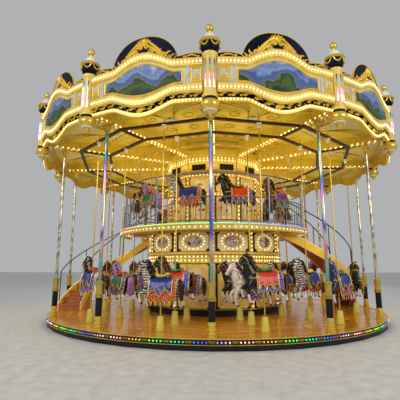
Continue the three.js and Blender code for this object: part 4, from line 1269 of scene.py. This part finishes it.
def cloth_layer(bm, rear, front, hang, scallops, point, lift, tone, tassels=False):
    """A cloth over the barrel that hangs in pointed swags past its laid share, with a gilt hem."""
    across, along = 14, max(12, 4 * scallops)

    def lie(u, v):
        x = rear + (front - rear) * u
        centre, width, depth = section_at(x)
        reach = abs(v)
        turn = math.radians(96) * min(1, reach / LAID)
        y = (width + 0.014 + lift) * math.sin(turn)
        z = centre + (depth + 0.012 + lift) * math.cos(turn)
        if reach > LAID:
            drop = (reach - LAID) / (1 - LAID)
            y += 0.045 * drop + 0.01 * math.sin(math.tau * u * scallops) * drop
            z -= drop * (hang + point * (1 - abs(math.sin(math.pi * u * scallops))))
        return Vector((x, math.copysign(y, v), z))

    first_face = len(bm.faces)
    cloth_uv = bm.loops.layers.uv.verify()
    made = bmesh.ops.create_grid(bm, x_segments=along, y_segments=across, size=1)["verts"]
    cloth = list({f for v in made for f in v.link_faces})
    for face in cloth:
        for loop in face.loops:
            loop[cloth_uv].uv = (loop.vert.co.x * (front - rear) / 2, loop.vert.co.y * 0.42)
    for vert in made:
        vert.co = lie((vert.co.x + 1) / 2, vert.co.y)
    bmesh.ops.solidify(bm, geom=cloth, thickness=0.007)
    tone_from(bm, first_face, tone)
    for side in (1, -1):
        bar(bm, [lie(k / along, side) for k in range(along + 1)], 0.009 if tassels else 0.014, GILT,
            sides=0, smooth=False)
        if tassels:
            for k in range(1, scallops):
                hem = lie(k / scallops, side)
                bar(bm, [hem, hem - Vector((0, 0, 0.03)), hem - Vector((0, 0, 0.06))], 0.014, GILT,
                    sides=0, smooth=False, ends=0.3)
        else:
            for way in (1, -1):
                eye = [lie(0.5 + way * (0.2 - 0.14 * k / 9 * math.cos(0.7 * k)),
                           side * (0.72 - 0.014 * k * math.sin(0.7 * k))) + Vector((0, side * 0.006, 0))
                       for k in range(10)]
                bar(bm, eye, 0.007, GILT, sides=0)
    for u in (0, 1):
        bar(bm, [lie(u, v) for v in spread(-1, 1, across)], 0.009, GILT, sides=0, smooth=False)


def kept_mesh(name, bm):
    """The mesh of a form that is copied into several pieces."""
    mesh = bpy.data.meshes.new(name)
    bm.to_mesh(mesh)
    bm.free()
    return mesh


def horse_form(long_blanket, stride):
    """One horse in its own frame: X forward, the pole through the origin."""
    bm = bmesh.new()
    bm.loops.layers.uv.new("cloth")
    loft(bm, BODY, COAT, sides=16)
    loft(bm, NECK, COAT, sides=14)
    loft(bm, HEAD, COAT, sides=14)
    for side in (1, -1):
        loft(bm, [(0.4, 0.525, 0.02, 0.022), (0.39, 0.56, 0.019, 0.018), (0.385, 0.605, 0.004, 0.004)],
             COAT, side * 0.035, 8)
        bar(bm, [(0.468, side * 0.052, 0.43), (0.478, side * 0.06, 0.422)], 0.013, HAIR)
        bar(bm, [(0.608, side * 0.03, 0.268), (0.617, side * 0.032, 0.261)], 0.008, HAIR)
        step = side * stride
        front = [(x + step * (0.05 if i > 1 else 0.0), z + step * (0.05 if i > 2 else 0.0), w, d)
                 for i, (x, z, w, d) in enumerate(FRONT_LEG)]
        hind = [(x + step * (0.05 if i > 1 else 0.0), z, w, d) for i, (x, z, w, d) in enumerate(HIND_LEG)]
        for leg, spread_out in ((front, 0.085), (hind, 0.088)):
            loft(bm, leg[:4], COAT, side * spread_out, 8)
            loft(bm, leg[3:], SOCK, side * spread_out, 8)
            x, z = leg[-1][:2]
            loft(bm, [(x, z + 0.012, 0.024, 0.025), (x - 0.008, z - 0.01, 0.028, 0.03),
                      (x - 0.014, z - 0.035, 0.034, 0.038)], HAIR, side * spread_out, 8)
    for k in range(9):
        x, z = 0.405 - 0.027 * k, 0.555 - 0.048 * k
        side = 1 if k % 2 else -1
        bar(bm, [(x + 0.015, 0, z), (x - 0.06, side * 0.035, z + 0.005),
                 (x - 0.1, side * 0.085, z - 0.06), (x - 0.075, side * 0.115, z - 0.13),
                 (x - 0.1, side * 0.12, z - 0.17)], 0.036, HAIR, ends=0.25)
    bar(bm, [(0.39, 0, 0.555), (0.45, 0, 0.555), (0.49, 0, 0.49), (0.5, 0, 0.44)], 0.024, HAIR, ends=0.3)
    for k in range(5):
        side = 0.016 * (k - 2)
        bar(bm, [(-0.4, side * 0.5, 0.12), (-0.455, side, 0.14 - 0.01 * abs(k - 2)),
                 (-0.5, side * 1.6, 0.05), (-0.495, side * 2, -0.09),
                 (-0.465 - 0.01 * abs(k - 2), side * 2.2, -0.23), (-0.49, side * 2, -0.32)], 0.034, HAIR,
            ends=0.2)
    cloth_layer(bm, -0.4, 0.25 if long_blanket else 0.22, 0.26 if long_blanket else 0.19, 6, 0.075, 0,
                BLANKET, tassels=True)
    cloth_layer(bm, *((-0.33, 0.22, 0.06, 2, 0.14) if long_blanket else (-0.27, 0.19, 0.06, 3, 0.11)),
                0.013, CAPE)
    loft(bm, SEAT, LEATHER, sides=12)
    bar(bm, [(0.12, side, 0.275 - 2 * abs(side)) for side in (-0.05, -0.02, 0, 0.02, 0.05)], 0.014, GILT,
        sides=0)
    bar(bm, [(-0.185, side, 0.28 - abs(side)) for side in (-0.09, -0.045, 0, 0.045, 0.09)], 0.014, GILT,
        sides=0)
    strap = [(0.12, 0.16, 0.06), (0.25, 0.162, 0.04), (0.35, 0.118, 0.04), (0.405, 0, 0.03)]
    bar(bm, strap + [(x, -y, z) for x, y, z in strap[-2::-1]], 0.015, GILT, sides=0)
    for x, z, w, d, lean in [(0.56, 0.31, 0.046, 0.054, 0.9), (0.435, 0.465, 0.064, 0.09, 0.9),
                             (0.31, 0.19, 0.108, 0.162, 0.42)]:
        loop = [(x + d * math.sin(a) * math.sin(lean), w * math.cos(a),
                 z + d * math.sin(a) * math.cos(lean)) for a in around(12)]
        bar(bm, loop, 0.009, GILT, sides=0, cyclic=True, smooth=False)
    for side in (1, -1):
        bar(bm, [(0.548, side * 0.048, 0.325), (0.45, side * 0.066, 0.4), (0.32, side * 0.098, 0.27),
                 (0.14, side * 0.04, 0.27)], 0.008, LEATHER, sides=0)
    bmesh.ops.recalc_face_normals(bm, faces=bm.faces)
    return kept_mesh("horse_form", bm)


def twisted_pole(foot, head):
    """A brass tube with four ribs that wind once round it every 0.32 m."""
    bm = bmesh.new()
    steps = round((head - foot) / 0.08)
    ring = bmesh.ops.create_circle(bm, segments=8, radius=POLE, cap_ends=True)["verts"]
    bmesh.ops.translate(bm, verts=ring, vec=(0, 0, foot))
    for vert in ring[::2]:
        vert.co.xy *= 0.8
    face = bm.faces[:][0]
    inner = []
    for k in range(steps):
        inner.append(face)
        geom = bmesh.ops.extrude_face_region(bm, geom=[face])["geom"]
        face = next(item for item in geom if isinstance(item, bmesh.types.BMFace))
        bmesh.ops.translate(bm, verts=face.verts, vec=(0, 0, (head - foot) / steps))
        turn_round(bm, face.verts, 90)
    bmesh.ops.delete(bm, geom=inner[1:], context="FACES_ONLY")
    bmesh.ops.recalc_face_normals(bm, faces=bm.faces)
    tone_from(bm, 0, GILT)
    return kept_mesh("twisted_pole", bm)


def patterned(name, ground, spot, size, style):
    """Gloss paint with a figure in a second colour: round dots, a lattice or ragged stripes."""
    material, tree, shader = opened(paint(name, ground, 0.28, mottle=0.2, coat=0.15, shine=0.35))
    base = shader["Base Color"].links[0].from_socket
    if style == "stripes":
        place = add_node(tree, "TexCoord").outputs["Object"]
        figure = add_node(tree, "TexWave", {"Scale": size, "Distortion": 7, "Detail Scale": 2},
                          {"Vector": place}, bands_direction="Z").outputs["Color"]
    else:
        place = add_node(tree, "UVMap").outputs["UV"]
        figure = add_node(tree, "TexVoronoi", {"Scale": size, "Randomness": 0.15}, {"Vector": place},
                          feature="F1" if style == "dots" else "DISTANCE_TO_EDGE").outputs["Distance"]
    low, high = {"dots": (0.2, 0.25), "lattice": (0.03, 0.06), "stripes": (0.42, 0.5)}[style]
    edge = shade_ramp(tree, figure, [(low, (1, 1, 1)), (high, (0, 0, 0))])
    mix = add_node(tree, "Mix", {"B": (*spot, 1)}, {"Factor": edge, "A": base}, data_type="RGBA")
    tree.links.new(mix.outputs["Result"], shader["Base Color"])
    return material


PALE_GOLD = (0.9, 0.68, 0.2)
FINISHES = {"gold": gold}
for name, colour in (("white_coat", (0.72, 0.69, 0.64)), ("black_coat", (0.008, 0.007, 0.01)),
                     ("brown_coat", (0.12, 0.035, 0.012)), ("navy_coat", (0.008, 0.012, 0.09)),
                     ("lilac_hair", (0.36, 0.2, 0.5)), ("red_seat", (0.7, 0.05, 0.015)),
                     ("green_seat", (0.02, 0.22, 0.06)), ("yellow_seat", (0.72, 0.5, 0.06)),
                     ("navy_cape", (0.01, 0.02, 0.22)), ("green_cape", (0.01, 0.13, 0.05)),
                     ("red_cape", (0.6, 0.035, 0.01)), ("violet_cape", (0.16, 0.03, 0.3)),
                     ("orange_cape", (0.75, 0.2, 0.015))):
    FINISHES[name] = paint(name, colour, 0.22, mottle=0.18, coat=0.2, shine=0.35)
for name, ground, spot, size, style in (
        ("banded_coat", (0.008, 0.008, 0.015), (0.7, 0.7, 0.68), 5.5, "stripes"),
        ("blue_blanket_with_dots", (0.01, 0.045, 0.5), PALE_GOLD, 24, "dots"),
        ("violet_blanket_with_lattice", (0.08, 0.02, 0.3), PALE_GOLD, 17, "lattice"),
        ("green_blanket_with_lattice", (0.01, 0.25, 0.05), (0.6, 0.75, 0.25), 18, "lattice"),
        ("magenta_blanket_with_dots", (0.3, 0.012, 0.14), (0.85, 0.5, 0.6), 26, "dots"),
        ("red_blanket_with_dots", (0.5, 0.025, 0.012), PALE_GOLD, 24, "dots"),
        ("teal_blanket_with_lattice", (0.01, 0.22, 0.28), (0.75, 0.7, 0.35), 18, "lattice"),
        ("purple_blanket_with_dots", (0.1, 0.025, 0.34), (0.8, 0.7, 0.35), 24, "dots")):
    FINISHES[name] = patterned(name, ground, spot, size, style)
PALETTES = [[FINISHES[tone] for tone in palette.split()] for palette in (
    "black_coat lilac_hair violet_blanket_with_lattice red_seat gold white_coat green_cape",
    "banded_coat black_coat red_blanket_with_dots yellow_seat gold white_coat navy_cape",
    "black_coat brown_coat green_blanket_with_lattice yellow_seat gold white_coat orange_cape",
    "black_coat brown_coat blue_blanket_with_dots green_seat gold white_coat red_cape",
    "brown_coat black_coat teal_blanket_with_lattice red_seat gold black_coat violet_cape",
    "white_coat black_coat purple_blanket_with_dots red_seat gold white_coat navy_cape",
    "navy_coat lilac_hair magenta_blanket_with_dots green_seat gold white_coat navy_cape")]
FORMS = [horse_form(True, 1), horse_form(False, -1), horse_form(True, -0.6)]
FORWARD = Matrix.Rotation(math.pi, 4, "Z")


def placed(form, angle, radius, height):
    """A copy of a form with its place in its mesh, facing the way the machine runs."""
    mesh = form.copy()
    mesh.transform(Matrix.Rotation(math.radians(angle), 4, "Z") @ Matrix.Translation((0, -radius, height))
                   @ FORWARD)
    return mesh


def riders(name, places, palettes, body, slot, *nodes, extra=None):
    """Horses and poles of one piece; places hold (form, pole, angle, radius, height, palette)."""
    bm = bmesh.new()
    bm.loops.layers.uv.new("cloth")
    for form, pole, angle, radius, height, palette in places:
        for source in (form, pole):
            first_face = len(bm.faces)
            copy = placed(source, angle, radius, height)
            bm.from_mesh(copy)
            bpy.data.meshes.remove(copy)
            bm.faces.ensure_lookup_table()
            for face in bm.faces[first_face:]:
                face.material_index += len(PALETTES[0]) * palettes.index(palette)
    if extra:
        first_face = len(bm.faces)
        extra(bm)
        tone_from(bm, first_face, GILT)
    obj = piece(name, bm, *[material for palette in palettes for material in PALETTES[palette]], sharp=60)
    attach(obj, body)
    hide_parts(*nodes)


RIDER_MID = 1.22
rising_pole = twisted_pole(0.335 - RIDER_MID, 5.11 - RIDER_MID)
SLOTS = ("horse_navy", "horse_red", "horse_green", "horse_white")
for row, radius, bays, way in [("outer", OUTER_ROW, OUTER_BAYS, 1),
                               ("middle", MIDDLE_ROW, INNER_BAYS, -1)]:
    for angle in bays:
        k = BAY_ANGLES.index(angle) + 1
        rise = way * 0.088 * math.sin(math.radians(35 + 75 * k))
        palette = (k * 3 + (0 if way > 0 else 2)) % len(PALETTES)
        form = FORMS[(k + (0 if way > 0 else 1)) % len(FORMS)]
        name = f"{row}_horse_{k}"
        riders(f"{name}_dressed", [(form, rising_pole, angle, radius, RIDER_MID + rise, palette)],
               [palette], name, SLOTS[(k + (0 if way > 0 else 2)) % 4], name)

STANDING_MID = 1.15
UPPER_MID = 3.56
UPPER_ROW = 2.65
standing_pole = twisted_pole(0.33 - STANDING_MID, 2.58 - STANDING_MID)
upper_pole = twisted_pole(2.7103 - UPPER_MID, 4.97 - UPPER_MID)
chosen = [0, 1, 3, 4, 5]


def lower_hoop(bm):
    """The hoop and arms that hold the tops of the standing poles."""
    turned_shape(bm, hoop(2.25, 2.3, 2.54, 2.5995), 48)
    for angle in INNER_BAYS:
        wire(bm, [at(angle, 2.28, 2.57), at(angle, INNER_ROW + 0.025, 2.57)], 0.028, smooth=False)


riders("inner_row_dressed", [(FORMS[k % 3], standing_pole, angle, INNER_ROW, STANDING_MID, chosen[k % 5])
                             for k, angle in enumerate(INNER_BAYS)], chosen, "platform", "horse_white",
       "inner_row", extra=lower_hoop)
for side, way in (("right", 1), ("left", -1)):
    bays = [angle for angle in INNER_BAYS if way * (180 - angle) > 0]

    def half_hoop(bm):
        band(bm, 2.705, 2.782, 4.955, 4.9995, [way * angle for angle in COLUMN_ANGLES[:7]])

    riders(f"upper_row_{side}_dressed", [(FORMS[(k + 1) % 3], upper_pole, angle, UPPER_ROW, UPPER_MID,
                                          chosen[(k + 2) % 5]) for k, angle in enumerate(bays)], chosen,
           "platform", "horse_white", f"upper_row_{side}", extra=half_hoop)
